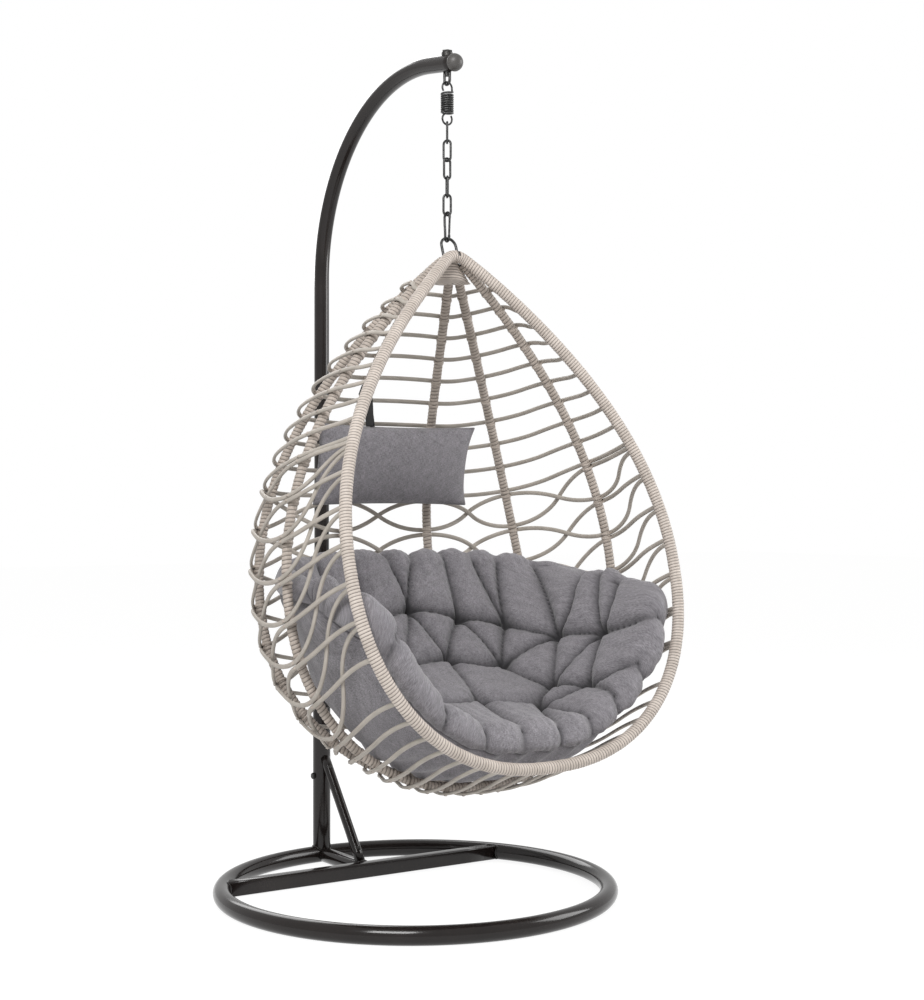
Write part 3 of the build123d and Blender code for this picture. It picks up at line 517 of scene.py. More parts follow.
def rim_points():
    """The rim from the crest of the apex down the right, round the foot and up the left."""
    branch = rim.loop(APEX_ROUND)
    shoulder, down = branch[0], unit(branch[1] - branch[0])
    rise = math.tan(math.acos(min(down[0], 1)) / 2) * shoulder[0]
    crest = np.array([0, shoulder[1] + rise * 0.4, shoulder[2] + rise])
    over = smooth_points([crest, shoulder], [np.array([1.0, 0, 0]), down], 12)
    mirrored = over[::-1] * np.array([-1, 1, 1])
    return np.concatenate([over[:-1], branch, mirrored[1:]])


def rib_points(side):
    start = back_rib.level(KNOT_HEAD_Z)
    return back_rib.at(np.linspace(start, back_rib.length - 0.006, 700), side)


def make_frame():
    lines = {"rim": rim_points()}
    for name, member in (("side_hoop", side_hoop), ("rear_hoop", rear_hoop)):
        lines[name] = member.loop(member.level(KNOT_HEAD_Z))
    for name, side in (("left", -1), ("right", 1)):
        lines["back_rib_" + name] = rib_points(side)
    for seed, (name, line) in enumerate(lines.items(), 1):
        wrap, finish = (RIM_WRAP, RIM_FINISH) if name == "rim" else (RIB_WRAP, RIB_FINISH)
        shape = Shape()
        wrapped_tube(shape, line, *wrap, seed)
        shape.piece(name + "_wrapping", finish, "basket", "wrap_rattan", [name + "_wrap"])


def make_knot():
    """Turns of strip round the bundle of tube ends, which round off underneath."""
    shape = Shape()
    turns, under, around = 8, 5, 72
    rows = [(t + r[0]) / turns for t in range(turns + under) for r in WRAP_ROWS]
    heights = [r[1] * 1.3 for _ in range(turns + under) for r in WRAP_ROWS]
    # lies carry the painted shade of the grooves between the knot's turns
    lies = [r[2] for _ in range(turns + under) for r in WRAP_ROWS]
    angle = np.linspace(0, 2 * math.pi, around, endpoint=False)
    waves = 1 + 0.05 * np.cos(5 * angle + 0.4)
    rings = []
    for share, height in zip(rows, heights):
        fall = np.clip(share, 0, 1)
        turn = np.clip(share - 0.8, 0, None) * turns / (under + 0.2 * turns) * math.pi / 2
        squeeze = np.cos(turn) ** 0.6 if share > 0.8 else 1.0
        wide = (0.024 + (0.070 - 0.024) * fall) * waves * squeeze + height
        deep = (0.015 + (0.039 - 0.015) * fall) * waves * squeeze + height
        y = CHAIN_Y - 0.008 + 0.020 * fall
        z = KNOT_HEAD_Z - (KNOT_HEAD_Z - KNOT_FOOT_Z) * min(fall, 0.8) / 0.8 * 0.86 - 0.0065 * math.sin(turn)
        z = z + 0.0015 * np.sin(3 * angle)
        rings.append(np.stack([wide * np.cos(angle), y + deep * np.sin(angle), z], -1))
    faces = [f[::-1] for f in tube_faces(len(rows), around, False) + end_faces(len(rows), around)]
    shape.add(np.concatenate(rings), faces, lie=np.repeat(lies, around))
    shape.piece("apex_wrapped_knot", RIM_FINISH, "basket", "wrap_rattan", ["apex_knot"])


# Weave
class Stop:
    """A place where a strand crosses a member on its outside."""

    def __init__(self, member, length, side):
        self.member = member
        self.length = length
        self.side = side
        self.out = member.out(length, side)
        self.point = member.at(length, side) + self.out * (member.radius + STRAND_THICK / 2 + STRAND_GAP)
        self.way = None

    def head(self, way):
        self.way = square_to(way, self.out)


class End:
    """A place where a strand ends on the rim."""

    def __init__(self, member, length, side, last_stop):
        centre = member.at(length, side)
        self.way = square_to(last_stop - centre, member.way(length, side))
        self.out = square_to(member.out(length, side), self.way)
        self.point = centre + self.way * (member.radius - 0.002)


def route(places):
    for before, stop, after in zip(places, places[1:], places[2:]):
        stop.head(after.point - before.point)


def wave_levels(member, heights):
    first, top, last = (member.level(z) for z in heights)
    return np.linspace(first, top, STRAIGHT_COUNT), np.linspace(top, last, WAVE_COUNT + 1)


LIFT = (STRAND_WIDE + STACK_GAP) / 2
TABLES = [wave_levels(m, h) for m, h in
          ((rim, RIM_LEVELS), (side_hoop, SIDE_LEVELS), (rear_hoop, REAR_LEVELS), (back_rib, BACK_LEVELS))]
WALL_MEMBERS = (side_hoop, rear_hoop, back_rib, back_rib, rear_hoop, side_hoop)
WALL_SIDES = (-1, -1, -1, 1, 1, 1)


def wall_places(lengths, rim_lengths):
    stops = [Stop(m, s, side) for m, s, side in zip(WALL_MEMBERS, lengths, WALL_SIDES)]
    left = End(rim, rim_lengths[0], -1, stops[0].point)
    right = End(rim, rim_lengths[1], 1, stops[-1].point)
    right.way = -right.way
    return [left] + stops + [right]


def strand_line(places, middles):
    """Points and normals of one strand over all its bays. A bay may have a middle place of its own."""
    points, normals = [], []
    for i, (a, b) in enumerate(zip(places, places[1:])):
        spots, ways = [a.point, b.point], [a.way, b.way]
        if middles:
            spots.insert(1, middles[i][0])
            ways.insert(1, middles[i][1])
        run = smooth_points(spots, ways, 6 if middles else 12)
        share = np.linspace(0, 1, len(run))[:, None]
        share = share * share * (3 - 2 * share)
        outs = a.out * (1 - share) + b.out * share
        last = i == len(places) - 2
        points.append(run if last else run[:-1])
        normals.append(outs if last else outs[:-1])
    return np.concatenate(points), np.concatenate(normals)


def straight_strands():
    for on_rim, on_side, on_rear, on_back in zip(*(t[0] for t in TABLES)):
        lengths = [on_side, on_rear, on_back, on_back, on_rear, on_side]
        places = wall_places([s - LIFT for s in lengths], [on_rim - LIFT] * 2)
        route(places)
        yield places, None


def wave_strands():
    on_rim, on_side, on_rear, on_back = (t[1] for t in TABLES)
    tables = (on_side, on_rear, on_back, on_back, on_rear, on_side)
    guides = [wall_places([t[j] for t in tables], [on_rim[j]] * 2) for j in range(WAVE_COUNT + 1)]
    for guide in guides:
        route(guide)
    for wave in range(WAVE_COUNT):
        pair = []
        for phase in (0, 1):
            lows = [(i + phase) % 2 for i in range(len(tables))]
            lengths = [t[wave + low] + (-LIFT if low else LIFT) for t, low in zip(tables, lows)]
            ends = []
            for reach, low in ((LEFT_REACH, phase), (RIGHT_REACH, 1 - phase)):
                level = max(wave + low * (1 - reach), 0)
                shift = LIFT if low else -LIFT
                if level == 0:
                    shift = LIFT * (1 + 2 * low * (wave + 1))
                ends.append(on_rim[level] + shift)
            places = wall_places(lengths, ends)
            for i, low in enumerate(lows):
                places[i + 1].head(guides[wave + low][i + 1].way)
            pair.append(places)
        middles = ([], [])
        for i in range(len(pair[0]) - 1):
            spots, ways = [], []
            for places in pair:
                a, b = places[i], places[i + 1]
                low, high = biarc_corners(a.point, a.way, b.point, b.way)
                spots.append((low + high) / 2)
                ways.append(unit(high - low))
            out = unit(np.cross(ways[0], ways[1]))
            if out @ (pair[0][i].out + pair[1][i + 1].out) < 0:
                out = -out
            apart = (spots[1] - spots[0]) @ out / 2 + (-1) ** i * (STRAND_THICK + CROSS_GAP) / 2
            middles[0].append((spots[0] + out * apart, ways[0]))
            middles[1].append((spots[1] - out * apart, ways[1]))
        yield pair[0], middles[0]
        yield pair[1], middles[1]


def floor_strands():
    spans = [(m, m.level(h[2]) + 3 * LIFT) for m, h in
             ((rim, RIM_LEVELS), (side_hoop, SIDE_LEVELS), (rear_hoop, REAR_LEVELS))]
    for i in range(FLOOR_COUNT):
        across = 2 * i / (FLOOR_COUNT - 1) - 1
        side = 1 if across > 0 else -1
        on_rim, on_side, on_rear = ((m, m.length - abs(across) * (m.length - s), side) for m, s in spans)
        stops = [Stop(*on_side), Stop(*on_rear)]
        places = [End(*on_rim, stops[0].point)] + stops
        route(places)
        stops[1].head(stops[1].point - stops[0].point)
        yield places


def binding(shape, stop):
    """A strip of the member's wrapping that goes over the strand and ties it down."""
    member = stop.member
    way = member.way(stop.length, stop.side)
    centre = member.at(stop.length, stop.side)
    across = np.cross(way, stop.out)
    grip = member.radius + 0.0006
    top = member.radius + STRAND_GAP + STRAND_THICK + 0.0009
    a = np.linspace(0, 2 * math.pi, 28, endpoint=False)
    outward = np.maximum(np.cos(a), 0)
    reach = grip + (top - grip) * outward**5
    ring = centre + reach[:, None] * (np.cos(a)[:, None] * stop.out + np.sin(a)[:, None] * across)
    half, thick = 0.0034, 0.0006
    section = np.array([(-half, -thick), (half, -thick), (half * 0.8, thick), (0, thick * 1.5),
                        (-half * 0.8, thick)])
    normals = unit(ring - centre)
    slant = np.sin(a)[:, None] * way * 0.0012
    # painted shade: the strip's underside, against the member, is darkened (lie 0.2), its top left at full
    # tone
    lie = np.tile([0.2, 0.2, 0.8, 1.0, 0.8], len(a))
    swept(shape, ring + slant, section, normals, closed=True, lie=lie)


def make_weave():
    wall, ties = Shape(), Shape()
    section = oval(STRAND_WIDE, STRAND_THICK, 14, 2.3)
    for places, middles in [*straight_strands(), *wave_strands()]:
        points, normals = strand_line(places, middles)
        swept(wall, points, section, normals, lie=np.ones(len(points) * len(section)))
        for stop in places[1:-1]:
            binding(ties, stop)
    wall.piece("wall_weave", STRAND_FINISH, "basket", "weave_rattan",
               ["front_weave_left", "side_weave_left", "rear_weave_left", "back_weave", "rear_weave_right",
                "side_weave_right", "front_weave_right"])
    floor = Shape()
    for places in floor_strands():
        points, normals = strand_line(places, None)
        swept(floor, points, section, normals, lie=np.ones(len(points) * len(section)))
        for stop in places[1:]:
            binding(ties, stop)
    floor.piece("floor_weave", STRAND_FINISH, "basket", "weave_rattan",
                ["floor_weave_front", "floor_weave_rear"])
    ties.piece("weave_bindings", RIB_FINISH, "basket", "wrap_rattan")


# Cushions
CUSHION_X = (0, 0.200, 0.310, 0.375, 0.400)
CUSHION_CORNERS = (
    ((-350, 398), (-110, 313), (227, 764), (162, 788), (-25, 548), (-318, 456)),
    ((-345, 432), (-110, 349), (216, 762), (150, 786), (-32, 572), (-312, 492)),
    ((-330, 512), (-100, 424), (180, 752), (118, 776), (-62, 662), (-300, 600)),
    ((-312, 600), (-100, 532), (118, 730), (72, 768), (-100, 752), (-285, 712)),
    ((-290, 650), (-110, 622), (40, 720), (10, 758), (-130, 768), (-275, 735)),
)
CUSHION_BULGES = (0.09, 0.09, 0.42, -0.06, -0.05, 0.42)
CUSHION_SHIFT = np.array([CHAIN_Y + 0.0176, -0.0065])
CUSHION_ARCS = (26, 36, 26, 60, 54, 26)
CUSHION_ROWS = 201
PLEAT_REACH = 0.186   # tufts nearer to each other than this have a pleat between them
TIP_SHARE = 0.955     # where the cushion's two ends begin to round off
PUFF = 0.040          # from the floor of a pleat to the crown of the padding beside it
TUFTS = ((-0.020, -0.017, 0.686), (0.106, -0.039, 0.661), (0.207, -0.075, 0.639), (0.025, -0.111, 0.573),
         (0.146, -0.148, 0.555), (0.273, -0.184, 0.611), (0.318, -0.306, 0.621), (0.187, -0.278, 0.511),
         (0.232, -0.363, 0.514), (0.000, -0.267, 0.488), (0.126, -0.316, 0.486), (-0.140, -0.035, 0.670),
         (-0.245, -0.085, 0.650), (-0.100, -0.125, 0.570), (-0.225, -0.165, 0.590), (-0.318, -0.306, 0.621),
         (-0.130, -0.270, 0.500), (-0.232, -0.330, 0.520), (-0.320, -0.200, 0.650))
# Pleats from a tuft out to the border: the tuft's number and where on the border, and for the ends the side
BACK_PLEATS = ((0, -0.060), (0, 0.035), (1, 0.110), (2, 0.185), (2, 0.262), (5, 0.340), (11, -0.150),
               (12, -0.255), (18, -0.345))
FRONT_PLEATS = ((9, -0.030), (10, 0.065), (10, 0.150), (8, 0.225), (8, 0.295), (16, -0.125), (17, -0.225),
                (6, 0.352), (15, -0.345))
END_PLEATS = ((5, 0.30, 1), (6, 0.52, 1), (6, 0.72, 1), (18, 0.34, -1), (18, 0.50, -1), (15, 0.70, -1))


def eased(x, xs, rows):
    """Values of a table that is even in x, on smooth curves through its rows."""
    xs = np.r_[-np.array(xs[:0:-1]), xs]
    rows = np.concatenate([rows[:0:-1], rows])
    slopes = np.gradient(rows, xs, axis=0)
    i = np.clip(np.searchsorted(xs, x) - 1, 0, len(xs) - 2)
    h = (xs[i + 1] - xs[i])[:, None]
    t = ((x - xs[i])[:, None]) / h
    return ((1 + 2 * t) * (1 - t) ** 2 * rows[i] + t * (1 - t) ** 2 * h * slopes[i]
            + t * t * (3 - 2 * t) * rows[i + 1] + t * t * (t - 1) * h * slopes[i + 1])


def bulged_arc(a, b, bulge, count):
    chord = b - a
    corner = (a + b) / 2 + np.array([chord[1], -chord[0]]) * bulge * 2 / (1 - 4 * bulge**2)
    return arc_points(a, corner, b, count)[:-1]


def cushion_grid():
    """The bowl's surface before it is tufted, as rows from left to right."""
    share = np.linspace(-1, 1, CUSHION_ROWS)
    x = np.sin(share * math.pi / 2) * 0.5 + share * 0.5
    inner = np.clip(x, -TIP_SHARE, TIP_SHARE) / TIP_SHARE * CUSHION_X[-1]
    corners = eased(inner, CUSHION_X, np.array(CUSHION_CORNERS, float).reshape(5, 12) / 1000)
    rows = []
    for xi, row in zip(x, corners.reshape(-1, 6, 2)):
        row = row + CUSHION_SHIFT
        arcs = zip(row, np.roll(row, -1, 0), CUSHION_BULGES, CUSHION_ARCS)
        run = np.concatenate([bulged_arc(*arc) for arc in arcs])
        tip = max(abs(xi) - TIP_SHARE, 0) / (1 - TIP_SHARE)
        run = run.mean(0) + (run - run.mean(0)) * math.sqrt(max(1 - tip**2, 0.02))
        rows.append(np.c_[np.full(len(run), xi * CUSHION_X[-1]), run])
    return np.array(rows)


def grid_normals(grid):
    along = np.gradient(grid, axis=0)
    round_it = np.roll(grid, -1, 1) - np.roll(grid, 1, 1)
    return unit(np.cross(round_it, along))


def line_distance(points, line):
    """Distance of points from a broken line, and their share along it."""
    best = np.full(len(points), 9.0)
    share = np.zeros(len(points))
    for i, (a, b) in enumerate(zip(line, line[1:])):
        run = b - a
        t = np.clip((points - a) @ run / (run @ run), 0, 1)
        d = np.linalg.norm(points - (a + t[:, None] * run), axis=1)
        nearer = d < best
        share = np.where(nearer, (i + t) / (len(line) - 1), share)
        best = np.minimum(best, d)
    return best, share


def dome(t):
    t = np.clip(t, 0, 1)
    return np.sqrt(1 - (1 - t) ** 2)


class Padding:
    """The cushion's surface with the pleats that run over it."""

    def __init__(self):
        self.grid = cushion_grid()
        self.points = self.grid.reshape(-1, 3)
        self.normals = grid_normals(self.grid).reshape(-1, 3)
        self.starts = np.cumsum((0,) + CUSHION_ARCS)
        self.pleat = np.zeros(len(self.points))
        self.line = np.zeros(len(self.points))
        self.gather = np.zeros(len(self.points))

    def onto(self, spot):
        """The place on the surface under a spot near it."""
        i = np.argmin(np.linalg.norm(self.points - spot, axis=1))
        return spot - self.normals[i] * ((spot - self.points[i]) @ self.normals[i])

    def place(self, x, column):
        row = np.argmin(np.abs(self.grid[:, 0, 0] - x))
        return self.grid[row, int(column) % self.grid.shape[1]]

    def run(self, stops, depths, waist, reach):
        """A pleat over the surface through the stops. Its depth runs from the first to the last of depths."""
        line = [stops[0]]
        for a, b in zip(stops, stops[1:]):
            bow = np.cross(b - a, self.normals[np.argmin(np.linalg.norm(self.points - (a + b) / 2, axis=1))])
            bow = bow * rng.uniform(-0.07, 0.07)
            for t in np.linspace(0, 1, 7)[1:]:
                line.append(self.onto(a + (b - a) * t + bow * 4 * t * (1 - t)))
        d, share = line_distance(self.points, line)
        depth = (depths[0] + (depths[1] - depths[0]) * share) * (1 - waist * np.sin(np.pi * share))
        self.pleat = np.maximum(self.pleat, depth * (1 - dome(d / reach)))
        # self.line marks the pleat's crease, which is darkened as painted shade
        self.line = np.maximum(self.line, depth**0.7 * np.exp(-d / 0.0038))
        length = lengths_of(np.array(line))[-1]
        ripple = np.sin(share * length / 0.0125 * 2 * math.pi + rng.uniform(0, 6))
        self.gather += ripple * np.exp(-((d - 0.011) / 0.009) ** 2) * depth * 0.0014


def round_off(piece):
    smooth = piece.modifiers.new("round", "SUBSURF")
    smooth.levels = smooth.render_levels = 1


def make_cushion():
    pad = Padding()
    rows, around = pad.grid.shape[:2]
    starts = pad.starts
    column = np.tile(np.arange(around), rows)
    inside = pad.grid[:, starts[3]:starts[5]].reshape(-1, 3)
    tufts = [inside[np.argmin(np.linalg.norm(inside - np.array(t), axis=1))] for t in TUFTS]
    for i, a in enumerate(tufts):
        for b in tufts[:i]:
            gap = np.linalg.norm(a - b)
            if gap < PLEAT_REACH:
                pad.run([a, b], (1, 1), 0.22 + 4 * max(gap - 0.12, 0), 0.052)
    for pleats, ridge, seam in ((BACK_PLEATS, starts[2] + CUSHION_ARCS[2] * 0.55, starts[2] + 3),
                                (FRONT_PLEATS, starts[5] + CUSHION_ARCS[5] * 0.45, starts[6] - 3)):
        for i, x in pleats:
            pad.run([tufts[i], pad.place(x, ridge), pad.place(x * 1.02, seam)], (1.0, 0.42), 0.12, 0.046)
    for i, share, side in END_PLEATS:
        across = starts[3] + share * (starts[5] - starts[3])
        border = [pad.place(side * x, across) for x in (0.372, 0.403)]
        pad.run([tufts[i]] + border, (0.95, 0.35), 0.1, 0.040)
    near = np.min([np.linalg.norm(pad.points - t, axis=1) for t in tufts], axis=0)
    dip = np.exp(-(near / 0.017) ** 1.6)
    folds = np.zeros(len(pad.points))
    for t, lean in zip(tufts, rng.uniform(0, 6.28, len(tufts))):
        to = pad.points - t
        far = np.linalg.norm(to, axis=1)
        turn = np.arctan2(to[:, 0], to[:, 1] - to[:, 2])
        folds += np.exp(-((far - 0.030) / 0.018) ** 2) * np.sin(11 * turn + lean + far * 60) * 0.0016
    top = np.clip(np.minimum((column - starts[2] - 1) / 6, (starts[6] - 1 - column) / 6), 0, 1)
    middle = np.clip(np.minimum((column - starts[2]) / 40, (starts[6] - column) / 40), 0, 1)
    rise = PUFF * (0.40 + 0.04 * middle - pad.pleat) - 0.020 * dip + folds + pad.gather
    at_seam = np.exp(-np.minimum(np.abs(column - starts[2] - 1), np.abs(starts[6] - 1 - column)) / 1.3)
    x, z = pad.points[:, 0], pad.points[:, 2]
    pucker = np.sin(x * 2 * math.pi / 0.021 + 1.5 * np.sin(x * 61)) * 0.0022
    under = np.sin(x * 88 + 2 * np.sin(z * 27)) * np.sin(z * 19 + 1) * 0.006
    rise = rise * top + (under - 0.002) * (1 - top) - 0.0045 * at_seam
    rise = rise + pucker * np.exp(-((top - 0.6) / 0.5) ** 2)
    moved = pad.points + pad.normals * rise[:, None]
    faces = tube_faces(rows, around, False) + end_faces(rows, around)
    s = np.cumsum(np.linalg.norm(np.diff(pad.grid, axis=1, prepend=pad.grid[:, -1:]), axis=2), axis=1)
    cloth = np.stack([pad.points[:, 0], s.reshape(-1), np.zeros(len(pad.points))], -1)
    # painted shade: darkest on pleat creases, in the pleats, in the dips round the tufts and at the seam
    painted_shade = np.clip(0.95 * pad.line + 0.46 * pad.pleat, 0, 1) * top + 0.75 * dip + 0.6 * at_seam
    shape = Shape()
    shape.add(moved, faces, cloth=cloth, lie=np.clip(1 - painted_shade, 0, 1))
    cushion = shape.piece("tufted_seat_cushion", CLOTH, "basket", "cushion_fabric", ["seat_cushion"])
    round_off(cushion)


PILLOW_LEAN = 0.22    # how far the pillow's top comes forward, for each unit of height


def make_pillow():
    """Two panels sewn together round the edge, plump in the middle, with pinched corners."""
    low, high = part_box("head_pillow")
    middle = np.array((low + high) / 2)
    wide, thick, tall = np.array(high - low)
    columns, lines = 64, 30
    u, v = np.meshgrid(np.linspace(-1, 1, columns), np.linspace(-1, 1, lines), indexing="ij")
    pull_x = 1 - 0.045 * (1 - v**2)
    pull_z = 1 - 0.050 * (1 - u**2)
    x = u * wide / 2 * pull_x
    z = v * tall / 2 * pull_z
    crown = (np.clip(1 - np.abs(u) ** 2.4, 0, 1) * np.clip(1 - np.abs(v) ** 2.2, 0, 1)) ** 0.55
    corner = np.abs(u * v) ** 3
    wrinkle = np.sin(u * 21 + 6 * v) * np.abs(u) ** 3 + 0.8 * np.sin(v * 9 + u * 17) * np.abs(v) ** 4
    shape = Shape()
    for front in (-1, 1):
        swell = crown * thick / 2 * 0.98 + 0.0015 + wrinkle * 0.0016 * crown
        y = middle[1] + front * swell - corner * 0.012
        points = np.stack([middle[0] + x, y - z * PILLOW_LEAN, middle[2] + z], -1).reshape(-1, 3)
        faces = []
        for i in range(columns - 1):
            for j in range(lines - 1):
                quad = (i * lines + j, (i + 1) * lines + j, (i + 1) * lines + j + 1, i * lines + j + 1)
                faces.append(quad if front < 0 else quad[::-1])
        cloth = np.stack([x.reshape(-1), z.reshape(-1), np.zeros(x.size)], -1)
        # painted shade: the cloth darkens from the plump middle towards the seam round the edge
        lie = np.clip(0.55 + 3 * crown.reshape(-1), 0, 1)
        shape.add(points, faces, cloth=cloth, lie=lie)
    count = columns * lines
    border = [i * lines for i in range(columns)] + [(columns - 1) * lines + j for j in range(1, lines)]
    border += [i * lines + lines - 1 for i in range(columns - 2, -1, -1)] + list(range(lines - 2, 0, -1))
    for a, b in zip(border, border[1:] + border[:1]):
        shape.faces.append((b, a, a + count, b + count))
    pillow = shape.piece("neck_pillow", CLOTH, "basket", "cushion_fabric", ["head_pillow"])
    round_off(pillow)


def make_strap():
    """Webbing that runs up from the pillow's seam, round the rib and back down on itself."""
    low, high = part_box("pillow_strap")
    strands = TABLES[3][0]
    length = (strands[4] + strands[5]) / 2 - LIFT
    centre = back_rib.at(length, -1)
    way = back_rib.way(length, -1)
    grip = RIB_RADIUS + 0.0013
    front = square_to(np.array([0, -1.0, 0]), way)
    across = np.cross(way, front)
    a = np.linspace(-2.75, 2.75, 40)
    loop = centre + grip * (np.cos(a + math.pi)[:, None] * front + np.sin(a + math.pi)[:, None] * across)
    pillow_low, pillow_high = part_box("head_pillow")
    seam_y = (pillow_low[1] + pillow_high[1]) / 2 - (pillow_high[2] - pillow_low[2]) / 2 * PILLOW_LEAN
    foot = np.array([centre[0], seam_y, low[2] - 0.004])
    tails = []
    for end, nudge in ((loop[0], 0.0012), (loop[-1], -0.0012)):
        start = foot + np.array([nudge, 0, 0])
        t = np.linspace(0, 1, 14)[:-1, None]
        tails.append(start + (end - start) * t + front * (0.004 * np.sin(math.pi * t)))
    points = np.concatenate([tails[0], loop, tails[1][::-1]])
    section = rounded_box(0.0016, 0.024, 0.0006, 2)[:, ::-1]
    s = lengths_of(points)
    cloth = np.concatenate([np.c_[np.full(len(section), along), section] for along in s])
    shape = Shape()
    normals = np.cross(unit(np.gradient(points, axis=0)), way)
    swept(shape, points, section, normals, cloth=cloth)
    shape.piece("pillow_webbing", WEBBING, "basket", "strap_webbing", ["pillow_strap"])


# Stand
RING_RADIUS = 0.454
RING_TUBE = 0.021
RING_Z = 0.0205
BAR_Y = 0.227
FOOT_RADIUS = 0.019
SLEEVE_RADIUS = 0.0225
SLEEVE_TOP = 0.400
ARM_RADIUS = 0.019
ARM_FOOT = 0.385
ARM_RISE = 1.5        # where the arm's bend begins
ARM_BEND = 0.45
ARM_DROOP = math.radians(8)
ARM_TIP = 0.105       # straight run after the bend
CAP_RADIUS = 0.0205
BRACE_RADIUS = 0.0125
BEAD = 0.0022


def round_bar(shape, points, radius, first, around=28, **extra):
    points = np.asarray(points, float)
    ways, normals = carried_normals(points, first)
    swept(shape, points, oval(2 * radius, 2 * radius, around), normals, ways, **extra)


def round_rings(radii, around):
    return oval(2, 2, around)[None] * radii[:, None, None]


def finished_tube(points, radius, lip):
    """Radii along a tube whose ends are rounded over a short lip."""
    s = lengths_of(points)
    from_end = np.minimum(s, s[-1] - s)
    t = np.clip(from_end / lip, 0, 1)
    return radius - lip * (1 - np.sqrt(1 - (1 - t) ** 2))


def lipped_tube(shape, start, end, radius, lip=0.0015, around=40):
    """A straight tube with a softly rounded edge at each end."""
    start, end = np.asarray(start, float), np.asarray(end, float)
    reach = np.linalg.norm(end - start)
    inner = np.linspace(0, 1, 5)[1:-1] * (reach - 2 * lip) + lip
    s = np.r_[0, lip * 0.15, lip * 0.5, lip, inner, reach - lip, reach - lip * 0.5, reach - lip * 0.15, reach]
    points = start + (end - start) / reach * s[:, None]
    radii = finished_tube(points, radius, lip)
    ways = alike(unit(end - start), len(points))
    normals = alike(square_to(np.array([1.0, 0.01, 0.02]), ways[0]), len(points))
    swept(shape, points, round_rings(radii, around), normals, ways)


def weld_bead(shape, points, radius):
    """A rippled bead of weld along a closed line."""
    points = np.asarray(points, float)
    s = lengths_of(points)
    radii = radius * (1 + 0.10 * np.sin(s / 0.0032 * 2 * math.pi) + 0.08 * np.sin(s * 97))
    ways = unit(np.roll(points, -1, 0) - np.roll(points, 1, 0))
    normals = square_to(alike((0.31, 0.17, 0.93), len(points)), ways)
    swept(shape, points, round_rings(radii, 10), normals, ways, closed=True)


def painted(shape, name, node):
    shape.piece(name, PAINT, "stand", "stand_paint", [node])


def full_circle(count):
    return np.linspace(0, 2 * math.pi, count, endpoint=False)


def make_base():
    ring = Shape()
    a = full_circle(240)
    circle = np.stack([RING_RADIUS * np.cos(a), RING_RADIUS * np.sin(a), np.full(len(a), RING_Z)], -1)
    section = oval(2 * RING_TUBE, 2 * RING_TUBE, 36)
    section[:, 1] = np.maximum(section[:, 1], -RING_Z)
    swept(ring, circle, section, alike(UP, len(a)), closed=True)
    painted(ring, "base_ring_tube", "base_ring")
    bar = Shape()
    half = math.sqrt(RING_RADIUS**2 - BAR_Y**2) - 0.012
    line = np.stack([np.linspace(-half, half, 9), np.full(9, BAR_Y), np.full(9, RING_Z)], -1)
    swept(bar, line, rounded_box(0.030, 0.036, 0.004), alike(UP, 9))
    b = full_circle(90)
    square = oval(0.031, 0.0344, 90, 2 / 0.35)
    y, z = BAR_Y + square[:, 0], RING_Z + square[:, 1]
    inner = RING_RADIUS - np.sqrt(np.maximum(RING_TUBE**2 - (z - RING_Z) ** 2, 0)) - 0.0004
    for side in (-1, 1):
        weld_bead(bar, np.stack([side * np.sqrt(inner**2 - y**2), y, z], -1), BEAD)
    painted(bar, "cross_bar_tube", "cross_bar")
    foot = Shape()
    lipped_tube(foot, (0, BAR_Y + 0.0152, RING_Z), (0, RING_RADIUS - 0.0195, RING_Z), FOOT_RADIUS)
    seat = RING_Z + np.clip(0.0185 * np.sin(b), -0.0175, 0.0175)
    weld_bead(foot, np.stack([0.0185 * np.cos(b), np.full(90, BAR_Y + 0.0158), seat], -1), 0.0020)
    painted(foot, "foot_tube_round", "foot_tube")
    post = Shape()
    lipped_tube(post, (0, RING_RADIUS, RING_Z + 0.004), (0, RING_RADIUS, SLEEVE_TOP), SLEEVE_RADIUS, 0.0022)
    seat = RING_Z + np.sqrt(np.maximum(RING_TUBE**2 - (0.0215 * np.sin(b)) ** 2 * 0.9, 0)) + 0.0008
    weld_bead(post, np.stack([0.0230 * np.cos(b), RING_RADIUS + 0.0230 * np.sin(b), seat], -1), BEAD)
    painted(post, "post_sleeve_tube", "post_sleeve")


def make_arm():
    arm = Shape()
    bend = np.linspace(0, math.pi / 2 + ARM_DROOP, 60)[1:]
    upright = np.stack([np.zeros(20), np.full(20, RING_RADIUS), np.linspace(ARM_FOOT, ARM_RISE, 20)], -1)
    curve = np.stack([np.zeros(59), RING_RADIUS - ARM_BEND + ARM_BEND * np.cos(bend),
                      ARM_RISE + ARM_BEND * np.sin(bend)], -1)
    tip = np.array([0, -math.cos(ARM_DROOP), -math.sin(ARM_DROOP)])
    straight = curve[-1] + tip * np.linspace(0, ARM_TIP, 6)[1:, None]
    round_bar(arm, np.concatenate([upright, curve, straight]), ARM_RADIUS, (1, 0, 0), 40)
    painted(arm, "arm_bent_tube", "arm_tube")
    cap = Shape()
    t = np.linspace(0, math.pi / 2, 14)
    points = straight[-1] + tip * np.r_[-0.0012, CAP_RADIUS * np.sin(t)][:, None]
    radii = np.r_[ARM_RADIUS, np.maximum(CAP_RADIUS * np.cos(t), 0.0004)]
    swept(cap, points, round_rings(radii, 40), alike((1, 0, 0), len(points)), alike(tip, len(points)))
    cap.piece("arm_tip_cap", CAP, "stand", "cap_plastic", ["arm_end_cap"])
    brace = Shape()
    foot_end = np.array([0, 0.262, RING_Z + FOOT_RADIUS])
    head_end = np.array([0, RING_RADIUS - SLEEVE_RADIUS, 0.263])
    reach = np.linspace(-0.006, np.linalg.norm(head_end - foot_end) + 0.008, 12)
    round_bar(brace, foot_end + unit(head_end - foot_end) * reach[:, None], BRACE_RADIUS, (1, 0, 0), 32)
    painted(brace, "brace_round_tube", "brace_tube")


